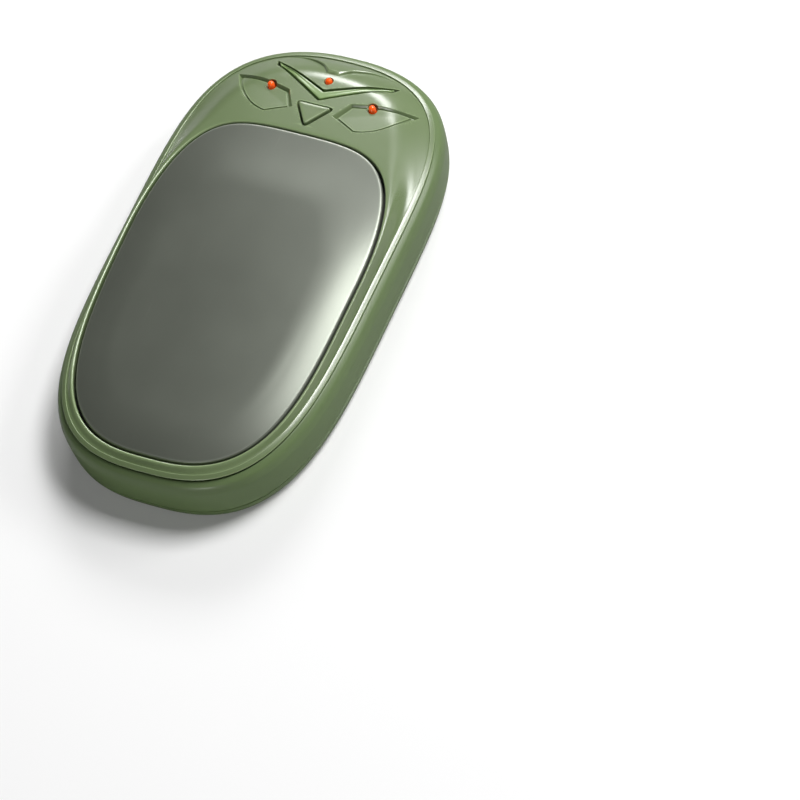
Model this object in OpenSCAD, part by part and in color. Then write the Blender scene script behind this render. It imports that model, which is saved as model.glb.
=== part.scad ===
// Rechargeable hand warmer with an owl face, as an assembly of separate pieces.
// Millimetres. X is across the width, +Y is towards the head, +Z is out of the warm face.
// The origin is on the surface it lies on, under the middle of its outline.

/* [Body outline] */
// Length of the body, tail to head
body_length = 104; // [96:0.5:116]
// Width of the body at its widest
body_width = 57.7; // [54:0.1:64]
// Distance of the widest place from the middle, towards the head
widest_y = 1.6; // [0:0.1:4]
// How square the outline is: head across, head along, tail across, tail along
body_squareness = [2.3, 4.42, 2.68, 3.69]; // [2.2:0.02:4.6]

/* [Body heights] */
// Height of the crown of the face surface
face_height = 17.5; // [17:0.1:20]
// Fall of the face surface from its crown to the widest place
side_drop = 2.8; // [2:0.1:3.2]
// Fall of the face surface from its crown to the head or the tail
end_drop = 3.8; // [3:0.1:4.2]
// Height of the seam under the rim bead, at mid length
rim_height = 12.1; // [11.6:0.1:12.4]
// Fall of that seam from the tail to the head
rim_fall = 1.1; // [0:0.1:1.6]
// Height of the seam between the back cover and the housing
back_seam = 3; // [2.6:0.1:3.4]

/* [Shell] */
// Wall of the side housing and floor of the back cover
wall = 1.8; // [1.6:0.1:2]
// Thickness of the front cover's face
face_wall = 1.8; // [1.6:0.1:2]
// Distance of the rim seam from the outline
rim_inset = 1.55; // [1.3:0.05:1.8]
// Width of the rim bead
bead_width = 0.8; // [0.6:0.05:1]
// Height of the rim bead over its seam
bead_height = 0.75; // [0.5:0.05:0.9]
// Depth of the interlocking lips at both seams
lip_depth = 1.5; // [1:0.1:2]
// Thickness of those lips
lip_wall = 0.9; // [0.7:0.05:1]

/* [Heating plate] */
// Width of the face between the rim's crease and the plate's mouth, at the sides
side_shoulder = 0.55; // [0.45:0.05:1.2]
// The same width at the tail
tail_shoulder = 1.2; // [1:0.1:3]
// Distance from the button's lower corner to the plate's opening line
button_room = 1.6; // [1.4:0.1:3]
// Widest place of the plate, from the middle of the body
plate_y = -3.2; // [-4:0.1:-2]
// How much wider each side of the opening is at the head than at mid length
plate_taper = 0.7; // [0:0.1:1]
// How square the opening is: head across, head along, tail across, tail along
plate_squareness = [4.44, 2.32, 2.69, 3.58]; // [2.2:0.02:4.6]
// Gap between the cover and the plate
plate_gap = 0.9; // [0.6:0.05:1.1]
// Thickness of the aluminium plate
plate_thick = 1.2; // [0.8:0.1:1.4]
// Rise of the plate's pillow over its edge
plate_crown = 1.1; // [0.6:0.1:1.6]
// Width over which the plate rolls up from its edge
plate_roll = 9; // [7:0.5:10]
// Width of the shelf that the plate is bonded to
shelf_width = 2.1; // [1.8:0.1:2.3]

/* [Owl face] */
// Width and height of an eye recess
eye_size = [15.5, 8.8]; // [8:0.1:16]
// Distance from the middle line to an eye's inner corner
eye_x = 4.4; // [4.2:0.1:5]
// Distance from the head end to the lowest point of an eye
eye_from_head = 20.6; // [20:0.1:21]
// Depth of an eye recess
eye_depth = 0.55; // [0.3:0.05:0.7]
// Half width and height of the brow's slot
brow_size = [13.4, 8.7]; // [8:0.1:14]
// Distance from the head end to the slot's lowest point
brow_from_head = 15.5; // [15:0.1:15.8]
// Depth of the slot
brow_depth = 1.1; // [0.8:0.05:1.2]
// Depth of the light-green inlay's top under the face
inlay_depth = 0.35; // [0.2:0.05:0.5]
// Half width and height of the raised crest
crest_size = [14.5, 3.6]; // [3:0.1:15]
// Distance from the head end to the crest's notch
crest_from_head = 8.2; // [8:0.1:8.6]
// Rise of the crest over the face at its notch
crest_rise = 0.7; // [0.4:0.05:0.9]

/* [Lights] */
// Diameter of an indicator lens
lens_d = 2.2; // [1.8:0.1:2.4]
// Distance from the middle line to an eye's lens
eye_lens_x = 11.1; // [10.6:0.1:11.6]
// Distance from the head end to an eye's lens
eye_lens_from_head = 14.4; // [14.2:0.1:14.8]
// Distance from the head end to the forehead's lens
forehead_lens_from_head = 10.3; // [10:0.1:10.8]

/* [Power button] */
// Width and height of the triangular cap
button_size = [7.2, 5.1]; // [5:0.1:8]
// Distance from the head end to the cap's upper edge
button_from_head = 17.3; // [17.2:0.1:17.6]
// Height of the cap over the face
button_rise = 0.8; // [0.5:0.05:1]
// Travel of the button and of the switch's plunger
button_travel = 0.35; // [0.2:0.05:0.5]
// Gap round the cap
button_gap = 0.25; // [0.2:0.05:0.35]

/* [Battery and board] */
// Distance from the tail end to the battery cell
cell_from_tail = 17.5; // [16:0.5:24]
// Room between the outline and the battery bay's tail corners
bay_room = 4.4; // [4:0.1:7]
// Thickness of the foam pad at its thinnest
pad_edge = 1.4; // [0.8:0.1:2.4]
// Distance from the switch to the circuit board's edge
board_margin = 3.2; // [2.6:0.1:4]
// Thickness of the circuit board
board_thick = 1; // [0.8:0.1:1.2]
// Height of the circuit board's top
board_top = 6; // [5.6:0.1:6.2]
// Width, height and length of the charging socket's shell
socket_size = [8.94, 3.26, 7.3]; // [3.26:0.01:8.94]

/* [Hidden] */

// Steps round each outline, and how far they crowd towards the outline's straight sides
sides = 64;
crowding = 6;
$fn = 48;
// Clearances: bonded or seated faces, shafts in their holes, and the one overrun of every cut
bond = 0.05;
slip = 0.05;
over = 1;

half_length = body_length / 2;
half_width = body_width / 2;
body_reach = [half_length - widest_y, half_length + widest_y];
head_y = half_length;

// A sign-keeping power, and a point of a superellipse at the angle u
function power(v, e) = sign(v) * pow(abs(v), e);
function pick(side, n) = side > 0 ? [n[0], n[1]] : [n[2], n[3]];
function squircle(w, reach, n, u) =
    let (e = pick(sin(u), n), l = sin(u) > 0 ? reach[0] : reach[1])
    [w * power(cos(u), 2 / e[0]), l * power(sin(u), 2 / e[1])];
// The outward unit normal there
function squircle_normal(w, reach, n, u, p) =
    let (
        e = pick(sin(u), n),
        l = sin(u) > 0 ? reach[0] : reach[1],
        g = [e[0] / w * power(p[0] / w, e[0] - 1), e[1] / l * power(p[1] / l, e[1] - 1)]
    )
    g / norm(g);
function turn(i) = let (u = 360 * (i + 0.5) / sides) u - crowding * sin(4 * u);

// The body's outline with its normals, and the same for the plate's opening line
body_line = [for (i = [0 : sides - 1]) squircle(half_width, body_reach, body_squareness, turn(i))];
body_out = [
    for (i = [0 : sides - 1])
    squircle_normal(half_width, body_reach, body_squareness, turn(i), body_line[i])
];
mouth_r = 0.5;
open_half = plate_gap / 2;
crease_inset = rim_inset + bead_width;
rim_width = crease_inset + mouth_r + open_half;
plate_half = half_width - rim_width - side_shoulder;
plate_head_y = head_y - button_from_head - button_size[1] - button_room;
plate_reach = [plate_head_y - plate_y, plate_y + half_length - rim_width - tail_shoulder];
plate_line = [
    for (i = [0 : sides - 1])
    squircle(plate_half, plate_reach, plate_squareness, turn(i))
];
plate_out = [
    for (i = [0 : sides - 1])
    squircle_normal(plate_half, plate_reach, plate_squareness, turn(i), plate_line[i])
];
function flare_share(y) = 1 + plate_taper / half_width * (y + plate_y) / half_length;
function flare(p) = [p[0] * flare_share(p[1]), p[1]];
// Half the body's width at y, and the least distance of p from a superellipse, positive inside
function body_x(y) =
    let (l = y > widest_y ? body_reach[0] : body_reach[1], e = pick(y - widest_y, body_squareness))
    half_width * pow(1 - pow(abs(y - widest_y) / l, e[1]), 1 / e[0]);
function depth(p, w, reach, n) =
    let (
        e = pick(p[1], n),
        l = p[1] > 0 ? reach[0] : reach[1],
        u = [abs(p[0]) / w, abs(p[1]) / l],
        g = pow(u[0], e[0]) + pow(u[1], e[1]),
        h = pow(g, 1 / depth_power),
        steep = [e[0] / w * pow(u[0], e[0] - 1), e[1] / l * pow(u[1], e[1] - 1)]
    )
    (1 - h) / (h / depth_power / g * norm(steep));
depth_power = 3;
function body_depth(p) = depth(p - [0, widest_y], half_width, body_reach, body_squareness);
function plate_depth(p) =
    let (y = p[1] - plate_y)
    depth([p[0] / flare_share(y), y], plate_half, plate_reach, plate_squareness);
// Rings of flat points: so far inside the body's outline, or inside the plate's opening line
function body_ring(inset) =
    [for (i = [0 : sides - 1]) body_line[i] - inset * body_out[i] + [0, widest_y]];
function plate_ring(inset) =
    [for (i = [0 : sides - 1]) flare(plate_line[i] - inset * plate_out[i]) + [0, plate_y]];
function plate_core(inset, share) =
    [for (p = plate_ring(inset)) [p[0] * share, plate_y + (p[1] - plate_y) * share]];

// Heights of the crowned face, of the plate's top and of the rim seam
function face_z(p) =
    face_height - side_drop * pow(p[0] / half_width, 2)
    - end_drop * pow((p[1] - widest_y) / half_length, 2);
function rim_z(p) = rim_height - rim_fall * p[1] / body_length;
plate_sink = 0.25;
function pillow(d) = plate_crown * (1 - pow(1 - min(d / plate_roll, 1), 2)) - plate_sink;

// Rings lifted to a height, to the rim seam or to the face, each plus an offset
function at(ring, z) = [for (p = ring) [p[0], p[1], z]];
function on_rim(ring, dz) = [for (p = ring) [p[0], p[1], rim_z(p) + dz]];
function on_face(ring, dz) = [for (p = ring) [p[0], p[1], face_z(p) + dz]];

// A closed hoop through rings of points, the last joined to the first
module hoop(rings) {
    m = len(rings);
    n = len(rings[0]);
    polyhedron(
        points = [for (r = rings) each r],
        faces = [
            for (j = [0 : m - 1], i = [0 : n - 1])
            let (a = j * n, b = (j + 1) % m * n, k = (i + 1) % n)
            each [[a + i, b + i, b + k], [a + i, b + k, a + k]]
        ]
    );
}

// A closed solid through rings of points, ended by a point at each end
module pod(low, rings, high) {
    m = len(rings);
    n = len(rings[0]);
    polyhedron(
        points = [low, for (r = rings) each r, high],
        faces = [
            for (i = [0 : n - 1]) let (k = (i + 1) % n) [0, 1 + i, 1 + k],
            for (j = [0 : m - 2], i = [0 : n - 1])
            let (a = 1 + j * n, b = a + n, k = (i + 1) % n)
            each [[a + i, b + i, b + k], [a + i, b + k, a + k]],
            for (i = [0 : n - 1])
            let (a = 1 + (m - 1) * n, k = (i + 1) % n)
            [a + i, 1 + m * n, a + k]
        ]
    );
}

// A flat outline with round corners, kept exact
module rounded(size, r) {
    for (s = [[size[0], size[1] - 2 * r], [size[0] - 2 * r, size[1]]]) square(s, center = true);
    for (x = [-1, 1], y = [-1, 1])
        translate([x * (size[0] / 2 - r), y * (size[1] / 2 - r)]) circle(r);
}
module block(size, r, foot) {
    translate([0, 0, foot]) linear_extrude(size[2]) rounded(size, r);
}

// A quadratic curve from a to b, drawn towards c
function bend(a, c, b, n) =
    [for (k = [0 : n]) let (t = k / n) pow(1 - t, 2) * a + 2 * t * (1 - t) * c + t * t * b];
function stretch(shares, size) = [for (s = shares) [s[0] * size[0], s[1] * size[1]]];

// Tilts its flat children, drawn about the place p, to the slope of the face there
module on_slope(p, dz) {
    slope_x = -2 * side_drop * p[0] / pow(half_width, 2);
    slope_y = -2 * end_drop * (p[1] - widest_y) / pow(half_length, 2);
    translate([p[0], p[1], face_z(p) + dz]) rotate([atan(slope_y), -atan(slope_x), 0])
        translate([-p[0], -p[1], 0]) children();
}

// Front cover: rim bead, rolled shoulder, crowned face, plate opening and shelf
shoulder_roll = 4.5;
crease = 0.15;
seam_gap = 0.1;
edge_roll = 0.35;
shelf_thick = 1;
gasket_thick = 0.3;
bead_shares = [[0, 0.45], [0.2, 0.85], [0.5, 1], [0.8, 0.97]];
shoulder_shares = [0.04, 0.09, 0.15, 0.22, 0.34, 0.55, 0.78];
under_shares = [0.92, 0.6, 0.3, 0.1];
shelf_drop = plate_sink + plate_thick + edge_roll;
shelf_top = -shelf_drop - gasket_thick - 2 * bond;
shelf_low = shelf_top - shelf_thick;
lip_out = crease_inset + bond;
lip_in = lip_out + lip_wall;
crease_ring = body_ring(crease_inset);
mouth_ring = plate_ring(-open_half - mouth_r);
lip_ring = body_ring(lip_in);
shelf_ring = plate_ring(0);
function smooth(t) = t * t * (3 - 2 * t);
function roll_up(t) = (smooth(t) + 1 - pow(1 - t, 2)) / 2;
// Height of the cover's top over the point p
function cover_z(p) =
    let (
        d = max(body_depth(p) - crease_inset, 0),
        e = max(-plate_depth(p) - open_half - mouth_r, 0),
        low = rim_z(p) + bead_height - crease
    )
    low + (face_z(p) - low) * roll_up(min(d / min(shoulder_roll, d + e + bond), 1));
function between(a, b, share) = [for (i = [0 : sides - 1]) a[i] + share * (b[i] - a[i])];
function shoulder(share) =
    [for (p = between(crease_ring, mouth_ring, share)) [p[0], p[1], cover_z(p)]];
// A ring of the cover's inner face, at a share of the way from the lip to the shelf
function lining(share) = [
    for (i = [0 : sides - 1])
    let (
        a = lip_ring[i],
        b = shelf_ring[i],
        p = a + share * (b - a),
        low = rim_z(a) + share * (face_z(b) + shelf_low - rim_z(a)),
        room = max(min(body_depth(p) - lip_in, -plate_depth(p)), 0)
    )
    [p[0], p[1], max(low, min(cover_z(p) - face_wall, low + 2 * room))]
];
module cover_skin() {
    hoop([
        on_rim(body_ring(rim_inset), 0),
        for (s = bead_shares)
            on_rim(body_ring(rim_inset + s[0] * bead_width), s[1] * bead_height),
        on_rim(crease_ring, bead_height - crease),
        for (s = shoulder_shares) shoulder(s),
        on_face(mouth_ring, 0),
        on_face(plate_ring(-open_half - mouth_r * 0.3), -mouth_r * 0.3),
        on_face(plate_ring(-open_half), -mouth_r),
        on_face(plate_ring(-open_half), shelf_top),
        on_face(plate_ring(shelf_width - open_half), shelf_top),
        on_face(plate_ring(shelf_width - open_half), shelf_low),
        on_face(shelf_ring, shelf_low),
        for (s = under_shares) lining(s),
        on_rim(lip_ring, 0),
        on_rim(lip_ring, -lip_depth),
        on_rim(body_ring(lip_out), -lip_depth),
        on_rim(body_ring(lip_out), 0)
    ]);
}

// Eye recesses with a slanted upper wall, each with a round notch for its lens
eye_shares = [[0, 0.27], [0.155, 0.716], [0.5, 0.865]];
eye_belly_shares = [[1, 1], [0.73, 0.11], [0.34, 0]];
floor_shares = [[0.071, 0.265], [0.18, 0.614], [0.529, 0.784]];
floor_belly_shares = [[0.915, 0.9], [0.73, 0.125], [0.345, 0.018]];
eye_heart_shares = [0.4, 0.45];
eye_steps = 8;
eye_at = [eye_x, head_y - eye_from_head];
eye_middle = eye_at + eye_size / 2;
function eye_loop(top, belly) =
    let (b = stretch(belly, eye_size))
    [for (p = concat(bend(b[2], b[1], b[0], eye_steps), [for (k = [2 : -1 : 0]) stretch(top, eye_size)[k]]))
        eye_at + p];
left_lens_at = [-eye_lens_x, head_y - eye_lens_from_head];
right_lens_at = [eye_lens_x, head_y - eye_lens_from_head];
forehead_at = [0, head_y - forehead_lens_from_head];
lens_r = lens_d / 2;
notch_r = lens_r + 0.45;
module eye_recess() {
    heart = eye_at + [eye_heart_shares[0] * eye_size[0], eye_heart_shares[1] * eye_size[1]];
    outer = eye_loop(eye_shares, eye_belly_shares);
    inner = eye_loop(floor_shares, floor_belly_shares);
    on_slope(eye_middle, 0) {
        pod(
            [heart[0], heart[1], -eye_depth],
            [at(inner, -eye_depth), at(outer, 0), at(outer, over)],
            [heart[0], heart[1], over]
        );
        translate([right_lens_at[0], right_lens_at[1], -eye_depth])
            cylinder(r = notch_r, h = eye_depth + over);
    }
}

// The brow: a slot of two arms that holds a light-green inlay
brow_shares = [[0, 0], [0.955, 0.83], [1, 1], [0, 0.333]];
inlay_shares = [[0, 0.03], [0.92, 0.83], [0.92, 0.89], [0, 0.245]];
brow_at = [0, head_y - brow_from_head];
brow_middle = brow_at + brow_size / 2;
module brow_arm(shares, foot, tall) {
    on_slope(brow_middle, foot) linear_extrude(tall)
        translate(brow_at) polygon(stretch(shares, brow_size));
}
module brow_slot() {
    for (m = [0, 1]) mirror([m, 0, 0]) brow_arm(brow_shares, -brow_depth, over + brow_depth);
}

// The crest: a raised widow's peak, bounded by two arcs and a notch, with slanted walls
crest_top_shares = [[0.072, 0.14], [0.214, 0.59]];
crest_foot_shares = [[0.09, -0.1], [0.2, 0.41]];
crest_arc_shares = [[0.62, 1.47], [1, 0.55]];
crest_fade = 3;
crest_sunk = 1;
crest_cap_shares = [0, 0.04, 0.09, 0.15, 0.22, 0.34];
crest_at = [0, head_y - crest_from_head];
// The outline at the left and right of the notch, closed round the head
function crest_line(notch) =
    let (
        a = stretch(notch, crest_size),
        b = stretch(crest_arc_shares, crest_size),
        half = [a[0], each bend(a[1], b[0], b[1], 6), [crest_size[0], crest_from_head + over]]
    )
    [
        for (p = half) crest_at + p,
        for (k = [len(half) - 1 : -1 : 0]) crest_at + [-half[k][0], half[k][1]]
    ];
function crest_cap(share) = [
    for (p = between(crease_ring, mouth_ring, share))
    let (
        d = min(max(body_depth(p) - crease_inset, 0) / crest_fade, 1),
        side = 1 - pow(p[0] / crest_size[0], 2),
        lift = crest_rise * side * (1 - pow(1 - d, 2)) - bond
    )
    [p[0], p[1], cover_z(p) + max(lift, -crest_sunk / 2)]
];
function sunk(ring, dz) = [for (p = ring) [p[0], p[1], p[2] - dz]];
module crest() {
    n = len(crest_cap_shares) - 1;
    heart = crest_at + [0, crest_from_head - 2 * crest_sunk];
    intersection() {
        hoop([
            sunk(crest_cap(0), crest_sunk),
            for (s = crest_cap_shares) crest_cap(s),
            sunk(crest_cap(crest_cap_shares[n]), crest_sunk)
        ]);
        pod(
            [heart[0], heart[1], face_z(crest_at) - crest_from_head / 2],
            [
                at(crest_line(crest_foot_shares), face_z(crest_at) - crest_from_head / 2),
                at(crest_line(crest_foot_shares), face_z(crest_at)),
                at(crest_line(crest_top_shares), face_z(crest_at) + crest_rise),
                at(crest_line(crest_top_shares), face_z(crest_at) + crest_rise + over)
            ],
            [heart[0], heart[1], face_z(crest_at) + crest_rise + over]
        );
    }
}

// The power button's triangle, each edge moved out by a gap, with softened corners
cap_corner = 0.7;
cap_side = norm([button_size[0] / 2, button_size[1]]);
cap_inner_r = button_size[0] * button_size[1] / (button_size[0] + 2 * cap_side);
cap_top = [0, head_y - button_from_head];
cap_middle = cap_top - [0, cap_inner_r];
cap_corners = [
    cap_top + [button_size[0] / 2, 0],
    cap_top - [button_size[0] / 2, 0],
    cap_top - [0, button_size[1]]
];
function toward(a, b, d) = a + d * (b - a) / norm(b - a);
function softened(p, r) = [
    for (i = [0 : len(p) - 1])
    let (before = p[(i + len(p) - 1) % len(p)], after = p[(i + 1) % len(p)])
    each bend(toward(p[i], before, r), p[i], toward(p[i], after, r), 4)
];
function cap_line(out) = softened(
    [for (p = cap_corners) cap_middle + (p - cap_middle) * (cap_inner_r + out) / cap_inner_r],
    cap_corner + 2 * out
);
guide_drop = 0.9;
guide_grow = 1.5;
guide_foot = face_z(cap_middle) - face_wall - guide_drop;

// Screw bosses on the cover's inner side
boss_r = 2.2;
bore_r = 0.95;
screw_r = bore_r - slip;
boss_sunk = 1.4;
tail_boss_sunk = 2.8;
boss_foot = board_top + bond;
boss_from_head = 9.3;
boss_from_tail = 7.2;
boss_room = 8.2;
function boss_place(y) = [body_x(y) - boss_room, y];
head_boss_at = boss_place(head_y - boss_from_head);
tail_boss_at = boss_place(boss_from_tail - half_length);
screw_reach = 8;
deck_top = board_top - board_thick - bond;
deck_thick = 1.5;
deck_low = deck_top - deck_thick;
module both_sides() {
    for (m = [0, 1]) mirror([m, 0, 0]) children();
}
module boss(p, roof) {
    translate([p[0], p[1], boss_foot]) cylinder(r = boss_r, h = roof - boss_foot);
}
module boss_bore(p) {
    translate([p[0], p[1], boss_foot - over])
        cylinder(r = bore_r, h = deck_low + screw_reach + bond - boss_foot + over);
}
collar_wall = 0.9;
collar_drop = 0.7;
collar_sunk = 0.6;
function collar_foot(p) = face_z(p) - face_wall - collar_drop;
module lens_collar(p) {
    translate([p[0], p[1], collar_foot(p)])
        cylinder(r = lens_r + collar_wall, h = collar_drop + collar_sunk);
}
module lens_hole(p) {
    translate([p[0], p[1], collar_foot(p) - over])
        cylinder(r = lens_r + slip, h = collar_drop + face_wall + 2 * over);
}
module front_cover() {
    color("#66734f") difference() {
        union() {
            cover_skin();
            crest();
            both_sides() {
                boss(head_boss_at, face_z(head_boss_at) - boss_sunk);
                boss(tail_boss_at, face_z(tail_boss_at) - tail_boss_sunk);
                lens_collar(right_lens_at);
            }
            lens_collar(forehead_at);
            translate([0, 0, guide_foot])
                linear_extrude(guide_drop + collar_sunk) polygon(cap_line(guide_grow));
        }
        both_sides() {
            eye_recess();
            lens_hole(right_lens_at);
            boss_bore(head_boss_at);
            boss_bore(tail_boss_at);
        }
        brow_slot();
        lens_hole(forehead_at);
        translate([0, 0, guide_foot - over])
            linear_extrude(guide_drop + face_wall + 3 * over) polygon(cap_line(button_gap));
    }
}
module brow_inlay() {
    color("#9db27c") both_sides()
        brow_arm(inlay_shares, bond - brow_depth, brow_depth - inlay_depth - bond);
}

// Side housing: a bulged wall with an overlapping lip at both seams and the socket's slot
wall_shares = [[0.19, 0], [0.06, 0.33], [0, 0.66], [0.1, 0.79], [0.32, 0.9], [0.65, 0.96], [0.97, 1]];
lip_ramp = 1;
slot_gap = 0.15;
socket_z = board_top + bond + socket_size[1] / 2;
socket_sunk = 0.6;
socket_mouth = head_y - socket_sunk;
socket_round_share = 0.48;
function on_wall(inset, share) = [
    for (p = body_ring(inset))
    let (low = back_seam + seam_gap)
    [p[0], p[1], low + share * (rim_z(p) - seam_gap - low)]
];
// A slot or tube outline of the socket, grown by a gap, drawn along Y from y
module socket_form(grow, y, long) {
    w = socket_size[0] + 2 * grow;
    h = socket_size[1] + 2 * grow;
    translate([0, y, socket_z]) rotate([-90, 0, 0])
        linear_extrude(long) rounded([w, h], h * socket_round_share);
}
module side_housing() {
    color("#5f6e48") difference() {
        hoop([
            for (s = wall_shares) on_wall(s[0] * rim_inset, s[1]),
            on_rim(body_ring(lip_out - bond), -seam_gap),
            on_rim(body_ring(lip_out - bond), -lip_depth - bond),
            on_rim(body_ring(wall), -lip_depth - lip_ramp),
            at(body_ring(wall), back_seam + seam_gap)
        ]);
        socket_form(slot_gap, head_y - wall - over, wall + 2 * over);
    }
}

// Back cover: a flat foot, a rolled edge and an upright lip inside the housing
foot_shares = [[2.8, 0], [2, 0.04], [1.3, 0.17], [0.8, 0.4], [0.5, 0.67], [0.35, 1]];
edge_unit = 1;
module back_cover() {
    inner = wall + slip;
    color("#5a6844") pod(
        [0, 0, 0],
        [
            for (s = foot_shares) at(body_ring(s[0] * edge_unit), s[1] * back_seam),
            at(body_ring(inner), back_seam),
            at(body_ring(inner), back_seam + lip_depth),
            at(body_ring(inner + lip_wall), back_seam + lip_depth),
            at(body_ring(inner + lip_wall), wall)
        ],
        [0, 0, wall]
    );
}

// Heating plate: a pillow-crowned aluminium shell with a bonding rim
plate_steps = [2.2, 4, 9.5, 14];
plate_top_steps = [0.9, 2.2, 4, 6.5, 9.5, 14];
core_share = 0.5;
rim_foot = 1.7;
edge_shares = [[0, 1], [0.25, 0.35]];
plate_middle = [0, plate_y];
function crowned(inset, dz) = [
    for (p = plate_ring(inset)) [p[0], p[1], face_z(p) + pillow(inset - open_half) + dz]
];
function crowned_core(dz) = [
    for (p = plate_core(plate_steps[3], core_share))
    [p[0], p[1], face_z(p) + pillow(plate_roll) + dz]
];
function crown_point(dz) =
    [plate_middle[0], plate_middle[1], face_z(plate_middle) + pillow(plate_roll) + dz];
module heating_plate() {
    color("#6f766a") pod(
        crown_point(-plate_thick),
        [
            crowned_core(-plate_thick),
            for (k = [3 : -1 : 0]) crowned(plate_steps[k], -plate_thick),
            on_face(plate_ring(rim_foot), -shelf_drop),
            on_face(plate_ring(open_half), -shelf_drop),
            for (s = edge_shares) on_face(
                plate_ring(open_half + s[0] * edge_roll), -plate_sink - s[1] * edge_roll
            ),
            for (d = plate_top_steps) crowned(d, 0),
            crowned_core(0)
        ],
        crown_point(0)
    );
}
gasket_inset = 0.35;
module plate_gasket() {
    color("#1c1d1b") hoop([
        on_face(plate_ring(gasket_inset - open_half - bond), -shelf_drop - bond - gasket_thick),
        on_face(plate_ring(gasket_inset - open_half - bond), -shelf_drop - bond),
        on_face(plate_ring(rim_foot - bond), -shelf_drop - bond),
        on_face(plate_ring(rim_foot - bond), -shelf_drop - bond - gasket_thick)
    ]);
}

switch_size = [6, 6, 2.5];

// Heater film, bonded under the plate, and the foam pad that presses it up
film_thick = 0.2;
film_drop = plate_thick + bond;
pad_drop = film_drop + film_thick + bond;
pad_notch = [16, 3.4];
tape_thick = 0.6;
bay_gap = 0.3;
bay_wall = 1.2;
guard_gap = 0.1;
guard_deep = 3;
board_tail_y = cap_middle[1] - switch_size[1] / 2 - board_margin;
bay_head_y = board_tail_y - bay_wall;
cell_head_y = bay_head_y - bay_gap - guard_deep - guard_gap;
cell_tail_y = cell_from_tail - half_length;
bay_tail_y = cell_tail_y - bay_gap;
cell_half = body_x(bay_tail_y - bay_wall) - bay_room - bay_wall - bay_gap;
cell_low = wall + tape_thick + 2 * bond;
cell_top = min([for (q = crowned(plate_steps[1], -pad_drop)) q[2]]) - pad_edge;
cell_size = [2 * cell_half, cell_head_y - cell_tail_y, cell_top - cell_low];
module heater_film() {
    color("#b5651d") pod(
        crown_point(-film_drop - film_thick),
        [
            crowned_core(-film_drop - film_thick),
            for (k = [3 : -1 : 1]) crowned(plate_steps[k], -film_drop - film_thick),
            for (k = [1 : 3]) crowned(plate_steps[k], -film_drop),
            crowned_core(-film_drop)
        ],
        crown_point(-film_drop)
    );
}
pad_ring = plate_ring(plate_steps[1]);
pad_head_y = plate_head_y - plate_steps[1];
module insulation_pad() {
    color("#d9d6cc") difference() {
        pod(
            [0, plate_y, cell_top + bond],
            [
                at(pad_ring, cell_top + bond),
                for (k = [1 : 3]) crowned(plate_steps[k], -pad_drop),
                crowned_core(-pad_drop)
            ],
            crown_point(-pad_drop)
        );
        translate([-pad_notch[0] / 2, pad_head_y - pad_notch[1], cell_top - over])
            cube([pad_notch[0], pad_notch[1] + over, face_height]);
    }
}

// A lead through points, with ball ends and bends
lead_r = 0.5;
ball_share = 1.2;
module lead(points, r) {
    for (k = [0 : len(points) - 1]) translate(points[k]) sphere(r * ball_share);
    for (k = [0 : len(points) - 2]) {
        way = points[k + 1] - points[k];
        translate(points[k])
            rotate([0, acos(way[2] / norm(way)), atan2(way[1], way[0])])
                cylinder(r = r, h = norm(way));
    }
}
function film_low(p, inset) =
    face_z(p) + pillow(inset - open_half) - film_drop - film_thick - bond;
lead_inset = 1.4;
lead_y = pad_head_y - lead_inset;
lead_gap_y = bay_head_y - 2 * bond - 2 * lead_r;
lead_reach = 2.4;
lead_land_y = board_tail_y + lead_reach;
board_land = board_top + bond;
heater_lead_x = 2.4;
module heater_leads() {
    x = heater_lead_x;
    top = film_low([x, lead_y], plate_steps[1]) - lead_r - 4 * bond;
    color("#c8c4b8") both_sides() lead([
        [x, lead_y, top],
        [x, lead_gap_y, top - 4 * lead_r],
        [x, lead_gap_y, cell_top - 4 * lead_r],
        [x, lead_land_y, board_land + lead_r]
    ], lead_r);
}
bead_r = 0.8;
sensor_x = 6;
module temperature_sensor() {
    z = film_low([sensor_x, lead_y], plate_steps[1]) - bead_r - 4 * bond;
    color("#2b2b2b") translate([sensor_x, lead_y, z]) {
        sphere(bead_r);
        rotate([-90, 0, 0]) cylinder(r = bead_r, h = 2 * bead_r);
    }
}
sensor_lead_r = 0.25;
module sensor_leads() {
    z = film_low([sensor_x, lead_y], plate_steps[1]) - bead_r - 4 * bond;
    y = lead_y + 2 * bead_r + sensor_lead_r + bond;
    color("#8a3b2e") for (side = [-1, 1]) lead([
        [sensor_x + side * bead_r / 2, y, z],
        [sensor_x + side * bead_r / 2, lead_gap_y, z - bead_r],
        [sensor_x + side * bead_r / 2, lead_gap_y, cell_top - 4 * lead_r],
        [sensor_x + side * bead_r / 2, lead_land_y, board_land + sensor_lead_r]
    ], sensor_lead_r);
}

// Battery pouch, its protection board and its leads
pouch_r = 2;
guard_side = 5;
guard_size = [cell_size[0] - 2 * guard_side, guard_deep, 0.8];
guard_z = cell_low + cell_size[2] / 2;
module battery_cell() {
    color("#a9adb0") translate([0, cell_tail_y, cell_low + cell_size[2] / 2]) rotate([-90, 0, 0])
        linear_extrude(cell_size[1]) rounded([cell_size[0], cell_size[2]], pouch_r);
}
module cell_tape() {
    color("#e9e7df") translate([0, cell_tail_y + cell_size[1] / 2, 0])
        block([cell_size[0] * 0.7, cell_size[1] * 0.8, tape_thick], pouch_r, wall + bond);
}
module protection_board() {
    color("#2f5d3a") translate([-guard_size[0] / 2, cell_head_y + guard_gap, guard_z])
        cube(guard_size);
}
module terminal_tape() {
    color("#c58a2b")
        translate([-guard_size[0] / 4, cell_head_y + guard_gap, guard_z + guard_size[2] + bond])
            cube([guard_size[0] / 2, guard_size[1], film_thick]);
}
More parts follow.
